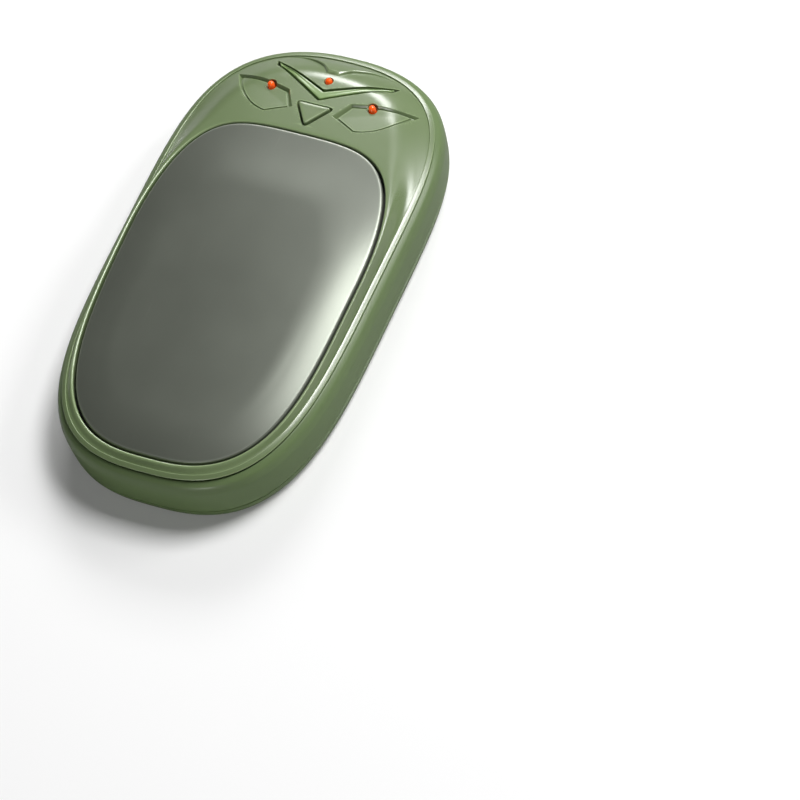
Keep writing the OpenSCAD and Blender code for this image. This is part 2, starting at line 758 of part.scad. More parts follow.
module battery_leads() {
    x = guard_size[0] / 2 - 2 * lead_r;
    z = guard_z + guard_size[2] + bond + lead_r;
    color("#a03028") both_sides() lead([
        [x, cell_head_y + guard_size[1] / 2, z],
        [x, lead_gap_y + lead_r, z + lead_r],
        [x, lead_land_y, board_land + lead_r]
    ], lead_r);
}

// Inner frame: a bay round the cell, a deck under the board and two lugs at the tail
bay_top = cell_low + cell_size[2] * 0.6;
bay_half = cell_size[0] / 2 + bay_gap;
deck_inset = wall + slip + lip_wall + bay_gap;
deck_window = [18, 9];
lug_r = boss_r;
frame_low = wall + bond;
module at_place(p, z) {
    translate([p[0], p[1], z]) children();
}
module inner_frame() {
    color("#3a3d38") difference() {
        union() {
            translate([-bay_half - bay_wall, bay_tail_y - bay_wall, frame_low]) cube([
                2 * (bay_half + bay_wall),
                bay_head_y - bay_tail_y + 2 * bay_wall,
                bay_top - frame_low
            ]);
            translate([0, 0, deck_low]) linear_extrude(deck_thick) intersection() {
                polygon(body_ring(deck_inset));
                translate([-half_width, bay_head_y]) square([body_width, half_length]);
            }
            both_sides() {
                at_place(tail_boss_at, deck_low)
                    cylinder(r = lug_r, h = board_top - deck_low);
                translate([tail_boss_at[0] - lug_r, tail_boss_at[1], deck_low])
                    cube([2 * lug_r, bay_tail_y - bay_wall / 2 - tail_boss_at[1], deck_thick]);
            }
        }
        translate([-bay_half, bay_tail_y, frame_low - over])
            cube([2 * bay_half, bay_head_y - bay_tail_y, cell_size[2]]);
        translate([-half_width, cell_head_y + guard_gap, deck_top])
            cube([body_width, half_length, cell_size[2]]);
        translate([0, bay_head_y + bay_wall + deck_window[1] / 2 + lug_r, deck_low - over])
            linear_extrude(deck_thick + 2 * over) rounded(deck_window, lug_r);
        both_sides() {
            at_place(head_boss_at, deck_low - over) cylinder(r = bore_r, h = deck_thick + 2 * over);
            at_place(tail_boss_at, deck_low - over) cylinder(r = bore_r, h = cell_size[2]);
        }
    }
}
screw_head_r = 1.8;
screw_head_h = 1.1;
module frame_screws() {
    color("#b8bcc0") both_sides() for (p = [head_boss_at, tail_boss_at])
        at_place(p, deck_low - bond - screw_head_h) {
            cylinder(r = screw_head_r, h = screw_head_h);
            cylinder(r = screw_r, h = screw_head_h + screw_reach);
        }
}

// Circuit board and what is soldered to it
board_inset = wall + 0.6;
hole_r = 1.1;
module circuit_board() {
    color("#2c6b45") difference() {
        translate([0, 0, board_top - board_thick]) linear_extrude(board_thick) intersection() {
            polygon(body_ring(board_inset));
            translate([-half_width, board_tail_y]) square([body_width, half_length]);
        }
        both_sides() at_place(head_boss_at, board_top - board_thick - over)
            cylinder(r = hole_r, h = board_thick + 2 * over);
    }
}
// A flat chip with legs along two sides, about the place p
module chip(p, size, legs, leg) {
    at_place(p, board_land) {
        translate([0, 0, leg[2]]) linear_extrude(size[2]) square([size[0], size[1]], center = true);
        for (side = [-1, 1], k = [0 : legs - 1])
            translate([
                side * (size[0] + leg[0]) / 2 - leg[0] / 2,
                (k + 0.5) * size[1] / legs - size[1] / 2 - leg[1] / 2,
                0
            ]) cube(leg);
    }
}
charge_chip_size = [3.9, 4.9, 1.4];
control_chip_size = [4, 5, 1.2];
chip_leg = [1, 0.4, 0.4];
chips_x = 9.6;
chips_from_edge = 3.6;
chips_y = board_tail_y + chips_from_edge;
module charge_chip() {
    color("#26282a") chip([-chips_x, chips_y], charge_chip_size, 4, chip_leg);
}
module control_chip() {
    color("#26282a") chip([chips_x, chips_y], control_chip_size, 5, chip_leg);
}
coil_size = [5, 5, 2.8];
parts_room = 11.25;
parts_x = half_width - parts_room;
coil_from_edge = 7;
coil_at = [parts_x, board_tail_y + coil_from_edge];
module power_inductor() {
    color("#4a4c4e") at_place(coil_at, 0) block(coil_size, coil_size[0] / 5, board_land);
}
capacitor_size = [3.2, 1.6, 1.4];
resistor_size = [1.6, 0.8, 0.5];
capacitors_from_edge = 3;
resistors_from_head = 14;
module capacitors() {
    color("#a8825a") for (k = [0 : 2])
        at_place(
            [-parts_x, board_tail_y + capacitors_from_edge + k * 2 * capacitor_size[1]], board_land
        )
            linear_extrude(capacitor_size[2])
                square([capacitor_size[0], capacitor_size[1]], center = true);
}
module resistors() {
    color("#303234") for (side = [-1, 1], k = [0 : 3])
        at_place(
            [side * 4 * resistor_size[0], head_y - resistors_from_head + k * 2 * resistor_size[1]],
            board_land
        )
            linear_extrude(resistor_size[2])
                square([resistor_size[0], resistor_size[1]], center = true);
}
led_size = [1.6, 1.6, 0.7];
led_top = board_land + led_size[2];
module indicator_leds() {
    color("#f2e6c8") for (p = [left_lens_at, right_lens_at, forehead_at])
        at_place(p, 0) block(led_size, led_size[0] / 5, board_land);
}

// Orange light pipes with a domed end in the face and a flange under their collar
flange_wall = 0.6;
flange_thick = 0.6;
dome_sunk = 0.3;
module lens(p) {
    color("#f05a1e") {
        at_place(p, led_top + bond)
            cylinder(r = lens_r, h = face_z(p) - dome_sunk - led_top - bond);
        at_place(p, face_z(p) - dome_sunk) sphere(lens_r);
        at_place(p, collar_foot(p) - bond - flange_thick)
            cylinder(r = lens_r + flange_wall, h = flange_thick);
    }
}
module left_eye_lens() {
    lens(left_lens_at);
}
module right_eye_lens() {
    lens(right_lens_at);
}
module forehead_lens() {
    lens(forehead_at);
}

// Power button and the tall switch under it
switch_lid = 0.3;
plunger_r = 1.7;
plunger_gap = 0.05;
stem_r = 1.6;
button_flange = 0.8;
plunger_top = guide_foot - bond - button_flange - bond;
dome_gap = 0.5;
module power_button() {
    color("#66734f") difference() {
        union() {
            translate([0, 0, guide_foot - bond])
                linear_extrude(face_height) polygon(cap_line(0));
            translate([0, 0, guide_foot - bond - button_flange])
                linear_extrude(button_flange) polygon(cap_line(guide_grow / 2));
        }
        on_slope(cap_middle, button_rise) translate([-half_width, 0, 0])
            cube([body_width, body_length, face_height]);
    }
}
module switch_body() {
    color("#1f2022") at_place(cap_middle, board_land) difference() {
        linear_extrude(switch_size[2]) rounded([switch_size[0], switch_size[1]], bay_gap);
        translate([0, 0, switch_size[2] / 2])
            cylinder(r = plunger_r + 2 * plunger_gap, h = switch_size[2]);
    }
}
module switch_cover() {
    color("#b9bcc0") at_place(cap_middle, board_land + switch_size[2] + bond) difference() {
        linear_extrude(switch_lid) rounded([switch_size[0], switch_size[1]], bay_gap);
        translate([0, 0, -over]) cylinder(r = plunger_r + plunger_gap, h = switch_lid + 2 * over);
    }
}
module switch_plunger() {
    foot = board_land + switch_size[2] / 2 + dome_gap;
    color("#202124") at_place(cap_middle, foot)
        cylinder(r = plunger_r, h = plunger_top - foot);
}

// Charging socket: a steel shell, a tongue on a base and its contacts
shell_wall = 0.3;
tongue_size = [6.7, 4.6, 0.7];
contact_size = [0.25, 3.6, 0.04];
contact_pitch = 0.5;
contacts = 12;
base_long = 1.6;
socket_tail_y = socket_mouth - socket_size[2];
module usb_shell() {
    color("#c3c6c8") difference() {
        socket_form(0, socket_tail_y, socket_size[2]);
        socket_form(-shell_wall, socket_tail_y - over, socket_size[2] + 2 * over);
    }
}
module usb_tongue() {
    color("#17181a") {
        socket_form(-shell_wall - bond, socket_tail_y, base_long);
        translate([
            -tongue_size[0] / 2, socket_tail_y + base_long, socket_z - tongue_size[2] / 2
        ]) cube(tongue_size);
    }
}
module usb_contacts() {
    color("#d4b04a") for (m = [0, 1], k = [0 : contacts - 1])
        translate([0, 0, socket_z]) mirror([0, 0, m])
        translate([
            (k + 0.5 - contacts / 2) * contact_pitch - contact_size[0] / 2,
            socket_tail_y + base_long + 2 * bond,
            tongue_size[2] / 2
        ]) cube(contact_size);
}

front_cover();
side_housing();
back_cover();
brow_inlay();
heating_plate();
plate_gasket();
heater_film();
heater_leads();
temperature_sensor();
sensor_leads();
insulation_pad();
battery_cell();
cell_tape();
protection_board();
terminal_tape();
battery_leads();
inner_frame();
frame_screws();
circuit_board();
charge_chip();
control_chip();
power_inductor();
capacitors();
resistors();
indicator_leds();
left_eye_lens();
right_eye_lens();
forehead_lens();
power_button();
switch_body();
switch_cover();
switch_plunger();
usb_shell();
usb_tongue();
usb_contacts();
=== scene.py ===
"""Rechargeable hand warmer with an owl face: the visible pieces, their finishes and the stage."""

import math

import bmesh
import bpy
import numpy as np
from bpy.props import FloatProperty, FloatVectorProperty, IntProperty, PointerProperty
from bpy.types import Operator, Panel, PropertyGroup
from mathutils import Matrix, Vector


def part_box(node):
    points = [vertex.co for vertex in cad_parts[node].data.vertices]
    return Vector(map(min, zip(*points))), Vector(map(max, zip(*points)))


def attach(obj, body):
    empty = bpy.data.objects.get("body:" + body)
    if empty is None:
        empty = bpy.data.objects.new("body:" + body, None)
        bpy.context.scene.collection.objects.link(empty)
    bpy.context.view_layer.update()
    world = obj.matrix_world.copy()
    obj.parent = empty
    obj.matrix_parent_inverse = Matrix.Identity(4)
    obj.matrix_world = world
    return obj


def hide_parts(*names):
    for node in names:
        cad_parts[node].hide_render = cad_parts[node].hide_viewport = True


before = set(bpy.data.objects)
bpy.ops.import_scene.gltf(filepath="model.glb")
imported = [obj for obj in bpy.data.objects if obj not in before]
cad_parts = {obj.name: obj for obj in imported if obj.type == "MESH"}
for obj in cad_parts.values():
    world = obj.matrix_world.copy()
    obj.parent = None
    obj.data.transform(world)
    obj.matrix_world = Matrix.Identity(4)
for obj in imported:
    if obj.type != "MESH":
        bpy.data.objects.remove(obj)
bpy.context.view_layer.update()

bl_info = {
    "name": "Hand Warmer Pieces",
    "version": (1, 0, 0),
    "blender": (4, 5, 0),
    "location": "3D View > Sidebar > Hand Warmer",
    "description": "Builds the fine pieces, finishes and stage of a rechargeable hand warmer",
    "category": "Object",
}

MM = 0.001

# Outlines and surfaces: exponents, shares, degrees and millimetres; spares keep to the CAD box
BODY_SQUARENESS = (2.3, 4.42, 2.68, 3.69)
PLATE_SQUARENESS = (4.44, 2.32, 2.69, 3.58)
CORNER_CROWDING = 6
WIDEST_Y = 1.6
SIDE_DROP = 2.8
END_DROP = 3.8
RIM_FALL = 1.1
HEAD_FROM, HEAD_FALL = 8, 1.1
RIM_INSET = 1.55
CREASE = 0.22
SHOULDER_ROLL, HEAD_REACH = 7.0, 0.3
WAVE_SHARE, HEAD_WAVE_LOSS = 0.75, 0.6
HEAD_BEAD_LOSS = 0.5
LEAST_ROOM = 0.01
WALL = 1.8
LIP_DEPTH = 1.5
SPARE = 0.01
TIP_SPARE = 0.11

# Heating plate, its opening and its gasket
PLATE_Y = -3.2
PLATE_TAPER = 0.7
PLATE_HALF = 25.0
PLATE_REACH = (31.2, 44.3)
PLATE_SINK = 0.25
PLATE_THICK = 1.2
PLATE_ROLL = 9.0
EDGE_ROLL = 0.35
OPEN_HALF = 0.27
HEAD_ROLL, HEAD_LIFT = 3.0, 0.6
FOOT_INSET, UNDER_INSET, UNDER_RUN = 1.7, 2.2, 30
CORE_INSET, CORE_STEPS = 5, 40
MOUTH_R = 0.4
SHELF_TOP, SHELF_LOW, SHELF_WIDTH = -2.2, -3.2, 2.1
GASKET_INSETS, GASKET_TOP, GASKET_THICK = (-0.15, 1.65), 0.35, 0.3

# Seams, lips and clearances; profiles are pairs of an inset or its share and a height's share
FIT = 0.05
SEAM_OPEN = 0.4
BEAD_PROFILE = (
    (0, 0.12), (0, 0.28), (0.08, 0.42), (0.4, 0.68), (0.76, 0.93), (0.86, 0.96), (0.94, 0.84),
)
BEAD_START, CREASE_START, CREASE_DIP = 0.1, 0.03, 0.08
SHOULDER_STEPS, SHOULDER_CROWDING = 48, 1.4
LIP_INSET = 0.95
ROOF_SHARES = (0.92, 0.6, 0.3, 0.1)
WALL_PROFILE = (
    (0.19, 0.02), (0.06, 0.33), (0, 0.66), (0.1, 0.79), (0.32, 0.9), (0.65, 0.96), (0.97, 1),
    (1.0, 0.992),
)
WALL_START, WALL_GAP = 0.15, 0.1
FOOT_PROFILE = ((2.8, 0), (2, 0.04), (1.3, 0.17), (0.8, 0.4), (0.5, 0.67), (0.35, 0.97))
BACK_EDGE, BACK_LIP = 0.5, (1.85, 2.75)
SOCKET_Z, SOCKET_HALVES, SOCKET_GAP = 7.68, (4.47, 1.63), 0.15
SOCKET_FLARE = ((48.0, 0), (51.6, 0), (51.75, 0.05), (51.9, 0.2), (53.5, 1.8))

# Owl face: the frames of its features, their depths and their edges
OUTLINE_STEP, EYE_STEP, BUTTON_STEP = 0.4, 0.35, 0.3
MITER_LEAST = 0.55
EDGE_ANGLES, EDGE_REACH = (0, 0.52, 1.05), 0.06
TOOL_TOP = 1.2
FLOOR_SHARES, GROOVE_SHARE = (*(k * 0.11 for k in range(8)), 0.84, 0.915), 0.925
EYE_SIZE, EYE_AT, EYE_HEART = np.array([15.5, 8.8]), np.array([4.4, 31.4]), np.array([10.6, 35.4])
EYE_DEPTH, EYE_DEEPER = 0.34, 0.12
EYE_SLOPE, EYE_SHIFT, EYE_BAND = 0.85, 0.3, 0.5
EYE_EDGE, EYE_GROOVE = 0.14, 0.3
BROW_SIZE, BROW_AT = np.array([13.4, 8.7]), np.array([0, 36.5])
SLOT_DEPTH, SLOT_HEART = 1.1, (0, 37.9)
INLAY_HEART, INLAY_FOOT, INLAY_TOP, INLAY_EDGE = np.array([0, 38.0]), -1.05, -0.28, 0.15
CREST_SIZE, CREST_AT = np.array([14.5, 3.6]), np.array([0, 43.8])
CREST_SINK, CREST_ROOT, CREST_RUN, CREST_EDGE, CREST_STEPS = 0.8, 0.06, 3, 1.2, 24
BUTTON_CORNERS = np.array([[3.6, 35.2], [-3.6, 35.2], [0, 30.1]])
BUTTON_MIDDLE, BUTTON_INNER = np.array([0, 33.335]), 1.8651
BUTTON_ROUND, BUTTON_RISE, BUTTON_EDGE = 0.7, 0.5, 0.3
BUTTON_GAP, BUTTON_DEPTH, BUTTON_HEART = 0.42, 3.4, (0, 33.3)
FLANGE, FLANGE_DROP, FLANGE_THICK = 0.75, 0.9, 0.8
FACE_REACH, HEAD_SIDE = 52, 20
LENSES = {
    "left_eye_lens": (-11.1, 38.0),
    "right_eye_lens": (11.1, 38.0),
    "forehead_lens": (0.0, 41.7),
}
LENS_R, LENS_GAP, LENS_HOLE_DEPTH = 0.7, 0.22, 3.5
NOTCH_GAP, NOTCH_DEPTH = 0.5, 0.8
COLLAR, COLLAR_DROP, DOME_SINK = 0.6, 0.7, 0.15

# Shading: the angle of a sharp edge, where outward edges are painted paler (partly wear, partly a
# painted highlight), and the tones of scratches and of those edges
SMOOTH_ANGLE, SAME_POINT = math.radians(35), 1e-7
SHORTEST_EDGE, PALE_EDGE_FROM, PALE_EDGE_SPAN = 0.02, 0.9, 1.8
SCRATCHED, EDGE_WEAR_AND_HIGHLIGHT_TONE = (1.6, 0.02), (2.6, 0.05)
SCRATCH_SCALE, SCRATCH_GLOSS, SCRATCH_DEPTH = 900, 0.15, 0.6
GRAIN_DEPTH, FINE_SHARE = 0.000001, 0.35
FLOAT, COLOUR = "NodeSocketFloat", "NodeSocketColor"
UNDOABLE = {"REGISTER", "UNDO"}


def power(value, exponent):
    """A power that keeps the sign."""
    return np.sign(value) * np.abs(value) ** exponent


def squircle(half, reach, squareness, angle):
    """Points and outward unit normals of the four-quarter superellipse."""
    ahead = np.sin(angle) > 0
    ex = np.where(ahead, squareness[0], squareness[2])
    ey = np.where(ahead, squareness[1], squareness[3])
    along = np.where(ahead, reach[0], reach[1])
    x = half * power(np.cos(angle), 2 / ex)
    y = along * power(np.sin(angle), 2 / ey)
    gx = ex / half * power(x / half, ex - 1)
    gy = ey / along * power(y / along, ey - 1)
    steep = np.hypot(gx, gy)
    return np.stack([x, y], 1), np.stack([gx / steep, gy / steep], 1)


def depth(x, y, half, reach, squareness):
    """Distance inside the superellipse, negative outside it."""
    ex = np.where(y > 0, squareness[0], squareness[2])
    ey = np.where(y > 0, squareness[1], squareness[3])
    along = np.where(y > 0, reach[0], reach[1])
    u, v = np.abs(x) / half + 1e-9, np.abs(y) / along + 1e-9
    g = u**ex + v**ey
    h = g ** (1 / 3)
    steep = np.hypot(ex / half * u ** (ex - 1), ey / along * v ** (ey - 1))
    return (1 - h) / (h / 3 / g * steep)


def lifted(ring, z):
    """A flat ring at a height, or at one height for each point."""
    return np.column_stack([ring, np.broadcast_to(z, len(ring))])


class Form:
    """The body's surfaces in millimetres, from the sizes in the panel."""

    def __init__(self):
        s = bpy.context.scene.warmer_sizes
        half_length = s.length / MM / 2
        self.half = s.width / MM / 2 - SPARE
        self.reach = (half_length - WIDEST_Y - TIP_SPARE, half_length + WIDEST_Y - SPARE)
        self.head_y = self.reach[0] + WIDEST_Y
        self.face = s.face_height / MM
        self.rim = s.rim_height / MM
        self.bead = (s.bead_width / MM, s.bead_height / MM)
        self.seam = s.back_seam / MM
        self.crown = s.plate_crown / MM - 4 * SPARE
        self.crest = s.crest_rise / MM
        self.edge = s.edge_round / MM
        self.crease = RIM_INSET + self.bead[0]
        turn = 2 * np.pi * (np.arange(s.columns) + 0.5) / s.columns
        turn = turn - np.radians(CORNER_CROWDING) * np.sin(4 * turn)
        self.line, self.out = squircle(self.half, self.reach, BODY_SQUARENESS, turn)
        self.plate_line, self.plate_out = squircle(PLATE_HALF, PLATE_REACH, PLATE_SQUARENESS, turn)

    def body_ring(self, inset):
        """The body's outline, moved inwards."""
        return self.line - inset * self.out + [0, WIDEST_Y]

    def plate_ring(self, inset):
        """The plate's outline, moved inwards."""
        p = self.plate_line - inset * self.plate_out
        flare = 1 + PLATE_TAPER / self.half * (p[:, 1] + PLATE_Y) / self.head_y
        return np.stack([p[:, 0] * flare, p[:, 1] + PLATE_Y], 1)

    def body_depth(self, p):
        """Distance of points inside the body's outline."""
        return depth(p[:, 0], p[:, 1] - WIDEST_Y, self.half, self.reach, BODY_SQUARENESS)

    def plate_depth(self, p):
        """Distance of points inside the plate's outline."""
        flare = 1 + PLATE_TAPER / self.half * p[:, 1] / self.head_y
        return depth(p[:, 0] / flare, p[:, 1] - PLATE_Y, PLATE_HALF, PLATE_REACH, PLATE_SQUARENESS)

    def face_z(self, p):
        """Height of the crowned face."""
        across = p[:, 0] / self.half
        along = (p[:, 1] - WIDEST_Y) / self.head_y
        return self.face - SIDE_DROP * across**2 - END_DROP * along**2

    def rim_z(self, p):
        """Height of the seam under the rim bead; it falls towards the head."""
        share = np.clip((p[:, 1] - HEAD_FROM) / (self.head_y - HEAD_FROM), 0, 1)
        return self.rim - RIM_FALL * p[:, 1] / 2 / self.head_y - HEAD_FALL * share**2

    def head_share(self, p):
        """0 up to the middle of the body, 1 at the head."""
        return np.clip(p[:, 1] / self.reach[0], 0, 1) ** 2

    def bead_rise(self, p):
        """Height of the rim bead over its seam."""
        return self.bead[1] * (1 - HEAD_BEAD_LOSS * self.head_share(p))

    def cover_z(self, p):
        """Height of the cover's rolled shoulder and face."""
        inward = np.maximum(self.body_depth(p) - self.crease, 0)
        outward = np.maximum(-self.plate_depth(p) - OPEN_HALF - MOUTH_R, 0)
        low = self.rim_z(p) + self.bead_rise(p) - CREASE
        room = inward + outward + LEAST_ROOM
        head = self.head_share(p)
        roll = SHOULDER_ROLL * (1 + HEAD_REACH * head)
        reach = (roll**-4.0 + room**-4.0) ** -0.25
        t = np.minimum(inward / reach, 1)
        wave = t**3 * (6 * t * t - 15 * t + 10)
        dome = 1 - (1 - t) ** 3
        share = dome + (wave - dome) * (WAVE_SHARE - HEAD_WAVE_LOSS * head)
        return low + (self.face_z(p) - low) * share

    def pillow(self, p, inset):
        """Rise of the plate over the face; its roll is longer towards the head."""
        along = np.maximum((p[:, 1] - PLATE_Y) / PLATE_REACH[0], 0)
        roll = PLATE_ROLL * (1 + HEAD_ROLL * along**2)
        rise = 1 - (1 - np.minimum(inset / roll, 1)) ** 2 * (1 - HEAD_LIFT * along**2)
        return self.crown * rise - PLATE_SINK

    def over_face(self, ring, rise):
        """A ring at a height over the crowned face."""
        return lifted(ring, self.face_z(ring) + rise)

    def over_rim(self, ring, rise):
        """A ring at a height over the seam under the rim bead."""
        return lifted(ring, self.rim_z(ring) + rise)

    def over_cover(self, ring, rise):
        """A ring at a height over the cover's surface."""
        return lifted(ring, self.cover_z(ring) + rise)


def circle(count):
    """Points of the unit circle."""
    turn = np.arange(count) * 2 * np.pi / count
    return np.stack([np.cos(turn), np.sin(turn)], 1)


def curve_through(points, steps):
    """A smooth line through all the points, with so many steps between each two."""
    p = np.array(points, float)
    ends = np.vstack([2 * p[0] - p[1], p, 2 * p[-1] - p[-2]])
    line = []
    for k in range(len(p) - 1):
        a, b, c, d = ends[k : k + 4]
        for t in np.arange(steps) / steps:
            square = (2 * a - 5 * b + 4 * c - d) * t * t
            cube = (3 * b - a - 3 * c + d) * t**3
            line.append(0.5 * (2 * b + (c - a) * t + square + cube))
    return np.array(line + [p[-1]])


def bend(a, toward, b, steps):
    """A quadratic curve from a to b, drawn towards a third point."""
    t = (np.arange(steps + 1) / steps)[:, None]
    return (1 - t) ** 2 * np.array(a) + 2 * t * (1 - t) * np.array(toward) + t * t * np.array(b)


def softened(corners, radius, steps=5):
    """An outline whose corners are rounded; radius is one number or one for each corner."""
    p = np.array(corners, float)
    r = np.broadcast_to(radius, len(p))
    line = []
    for k in range(len(p)):
        before, after = p[k - 1] - p[k], p[(k + 1) % len(p)] - p[k]
        start = p[k] + before / np.linalg.norm(before) * r[k]
        end = p[k] + after / np.linalg.norm(after) * r[k]
        line.extend(bend(start, p[k], end, steps) if r[k] > 0 else [p[k]])
    return np.array(line)


def grown(outline, distance):
    """A closed outline moved outwards, with mitred corners; it runs anticlockwise."""
    before = outline - np.roll(outline, 1, 0)
    after = np.roll(outline, -1, 0) - outline
    before /= np.linalg.norm(before, axis=1)[:, None]
    after /= np.linalg.norm(after, axis=1)[:, None]
    mean = before + after
    mean /= np.linalg.norm(mean, axis=1)[:, None]
    out = np.stack([mean[:, 1], -mean[:, 0]], 1)
    miter = np.maximum((mean * after).sum(1), MITER_LEAST)
    return outline + out * (distance / miter)[:, None]


def refined(outline, step, like=None):
    """A closed outline with its edges divided; like is the outline whose lengths set the counts."""
    guide = outline if like is None else like
    line = []
    for k in range(len(outline)):
        n = (k + 1) % len(outline)
        parts = max(1, math.ceil(np.linalg.norm(guide[n] - guide[k]) / step))
        share = (np.arange(parts) / parts)[:, None]
        line.extend(outline[k] + share * (outline[n] - outline[k]))
    return np.array(line)


def only(obj):
    """Selects one object alone and makes it active."""
    bpy.ops.object.select_all(action="DESELECT")
    obj.select_set(True)
    bpy.context.view_layer.objects.active = obj


def lofted(name, rings):
    """A closed piece through rings of points: a hoop, or a pod where the end rings are points."""
    count, around = len(rings), len(rings[0])
    bpy.ops.object.select_all(action="DESELECT")
    bpy.ops.mesh.primitive_torus_add(major_segments=around, minor_segments=count)
    obj = bpy.context.object
    obj.name = obj.data.name = name
    points = np.array(rings).transpose(1, 0, 2) * MM
    obj.data.vertices.foreach_set("co", points.ravel())
    bpy.ops.object.mode_set(mode="EDIT")
    bpy.ops.mesh.select_all(action="SELECT")
    bpy.ops.mesh.remove_doubles(threshold=SAME_POINT)
    bpy.ops.mesh.delete_loose()
    bpy.ops.mesh.select_all(action="SELECT")
    bpy.ops.mesh.normals_make_consistent(inside=False)
    bpy.ops.object.mode_set(mode="OBJECT")
    bpy.ops.object.shade_smooth_by_angle(angle=SMOOTH_ANGLE)
    return obj


def volume(obj):
    """The volume that a closed piece takes up."""
    mesh = bmesh.new()
    mesh.from_mesh(obj.data)
    size = mesh.calc_volume(signed=True)
    mesh.free()
    return size


def carve(obj, tool):
    """Cuts a tool out of a piece and removes the tool."""
    only(obj)
    before, most = volume(obj), volume(tool)
    modifier = obj.modifiers.new("Carve", "BOOLEAN")
    modifier.operation = "DIFFERENCE"
    modifier.object = tool
    modifier.solver = "EXACT"
    bpy.ops.object.modifier_apply(modifier=modifier.name)
    bpy.data.objects.remove(tool)
    if not 0 < before - volume(obj) < most:
        raise RuntimeError(f"{obj.name} wasn't cut as it should be")


def joined(obj, other):
    """Joins another solid to a piece."""
    only(obj)
    other.select_set(True)
    bpy.ops.object.join()


def mark_edge_wear_and_highlight(obj):
    """Keeps, for each vertex, how sharp an outward edge it lies on, as an attribute that paints sharp
    edges paler: partly wear, partly a painted highlight.
    """
    mesh = obj.data
    at, normal = np.empty((2, len(mesh.vertices), 3))
    mesh.vertices.foreach_get("co", at.ravel())
    mesh.vertex_normals.foreach_get("vector", normal.ravel())
    ends = np.empty(2 * len(mesh.edges), int)
    mesh.edges.foreach_get("vertices", ends)
    sharp = np.zeros(len(at))
    for a, b in (ends.reshape(-1, 2).T, ends.reshape(-1, 2).T[::-1]):
        away = at[a] - at[b]
        long = np.maximum(np.linalg.norm(away, axis=1), SHORTEST_EDGE * MM)
        np.maximum.at(sharp, a, 2 * (away * normal[a]).sum(1) / long**2)
    edge_wear_and_highlight = mesh.attributes.new("edge_wear_and_highlight", "FLOAT", "POINT")
    edge_wear_and_highlight.data.foreach_set("value", np.clip((sharp * MM - PALE_EDGE_FROM) / PALE_EDGE_SPAN, 0, 1))


def finished(obj, material, nodes, body="housing"):
    """Gives a piece its finish, shading and body, and hides the nodes that it stands for."""
    only(obj)
    bpy.ops.object.shade_smooth_by_angle(angle=SMOOTH_ANGLE)
    mark_edge_wear_and_highlight(obj)
    obj.data.materials.clear()
    obj.data.materials.append(bpy.data.materials[material])
    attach(obj, body)
    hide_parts(*nodes)


def rounded_edge(radius):
    """Steps of a convex edge: how far out and how high over the surface each one is."""
    steps = [(radius * (1 - math.cos(a)), radius * (math.sin(a) - 1)) for a in EDGE_ANGLES]
    out, up = steps[-1]
    return [*steps, (out - up + EDGE_REACH, EDGE_REACH)]


def well(form, name, lines, deep, middle, edge, groove=0.0):
    """A cutter for a recess; its depth under the face is a number or a function of the points."""
    floor, mouth = lines
    middle = np.array(middle)
    depth_at = deep if callable(deep) else lambda p: np.full(len(p), deep)
    rings = []
    for share in FLOOR_SHARES:
        ring = middle + share * (floor - middle)
        rings.append(form.over_cover(ring, -depth_at(ring)))
    ring = middle + GROOVE_SHARE * (floor - middle)
    rings.append(form.over_cover(ring, -depth_at(ring) - groove))
    full = depth_at(floor) + groove
    rings.append(form.over_cover(floor, -full))
    for out, up in rounded_edge(edge):
        share = np.minimum((full + up) / full, 1)[:, None]
        wall = floor + share * (mouth - floor)
        ring = grown(wall, out) if out > 0 else wall
        rings.append(lifted(ring, form.cover_z(wall) + up))
    high = rings[-1] + [0, 0, TOOL_TOP]
    rings += [high, np.tile([*middle, high[:, 2].max()], (len(floor), 1))]
    return lofted(name, rings)


def mirrored(outline):
    """The outline on the other side of the middle line, still anticlockwise."""
    return (outline * [-1, 1])[::-1]


# Finishes


def group(name, inputs, outputs):
    """A new shader node group with named float or colour sockets."""
    tree = bpy.data.node_groups.new(name, "ShaderNodeTree")
    for sockets, way in ((inputs, "INPUT"), (outputs, "OUTPUT")):
        for label, kind in sockets.items():
            tree.interface.new_socket(label, in_out=way, socket_type=kind)
    return tree, tree.nodes.new("NodeGroupInput"), tree.nodes.new("NodeGroupOutput")


def feed(tree, socket, value):
    """Sets a socket's value, or links another node's output to it."""
    if isinstance(value, bpy.types.NodeSocket):
        tree.links.new(value, socket)
    else:
        socket.default_value = value


def noise(tree, coordinates, scale, detail, roughness=0.5):
    """A noise texture's value at the coordinates."""
    node = tree.nodes.new("ShaderNodeTexNoise")
    node.inputs["Detail"].default_value = detail
    node.inputs["Roughness"].default_value = roughness
    feed(tree, node.inputs["Vector"], coordinates)
    feed(tree, node.inputs["Scale"], scale)
    return node.outputs["Fac"]


def math_node(tree, operation, *values, clamp=False):
    """The result of a maths node; each value is a number or a socket."""
    node = tree.nodes.new("ShaderNodeMath")
    node.operation = operation
    node.use_clamp = clamp
    for socket, value in zip(node.inputs, values):
        feed(tree, socket, value)
    return node.outputs[0]


def excess(tree, value, limit, gain):
    """How far a value lies over a limit, times a gain, from 0 to 1."""
    return math_node(tree, "MULTIPLY", math_node(tree, "SUBTRACT", value, limit), gain, clamp=True)


def blend(tree, factor, a, b):
    """Mixes two colours, each a socket or four numbers."""
    node = tree.nodes.new("ShaderNodeMix")
    node.data_type = "RGBA"
    for socket, value in zip((node.inputs[0], node.inputs[6], node.inputs[7]), (factor, a, b)):
        feed(tree, socket, value)
    return node.outputs[2]


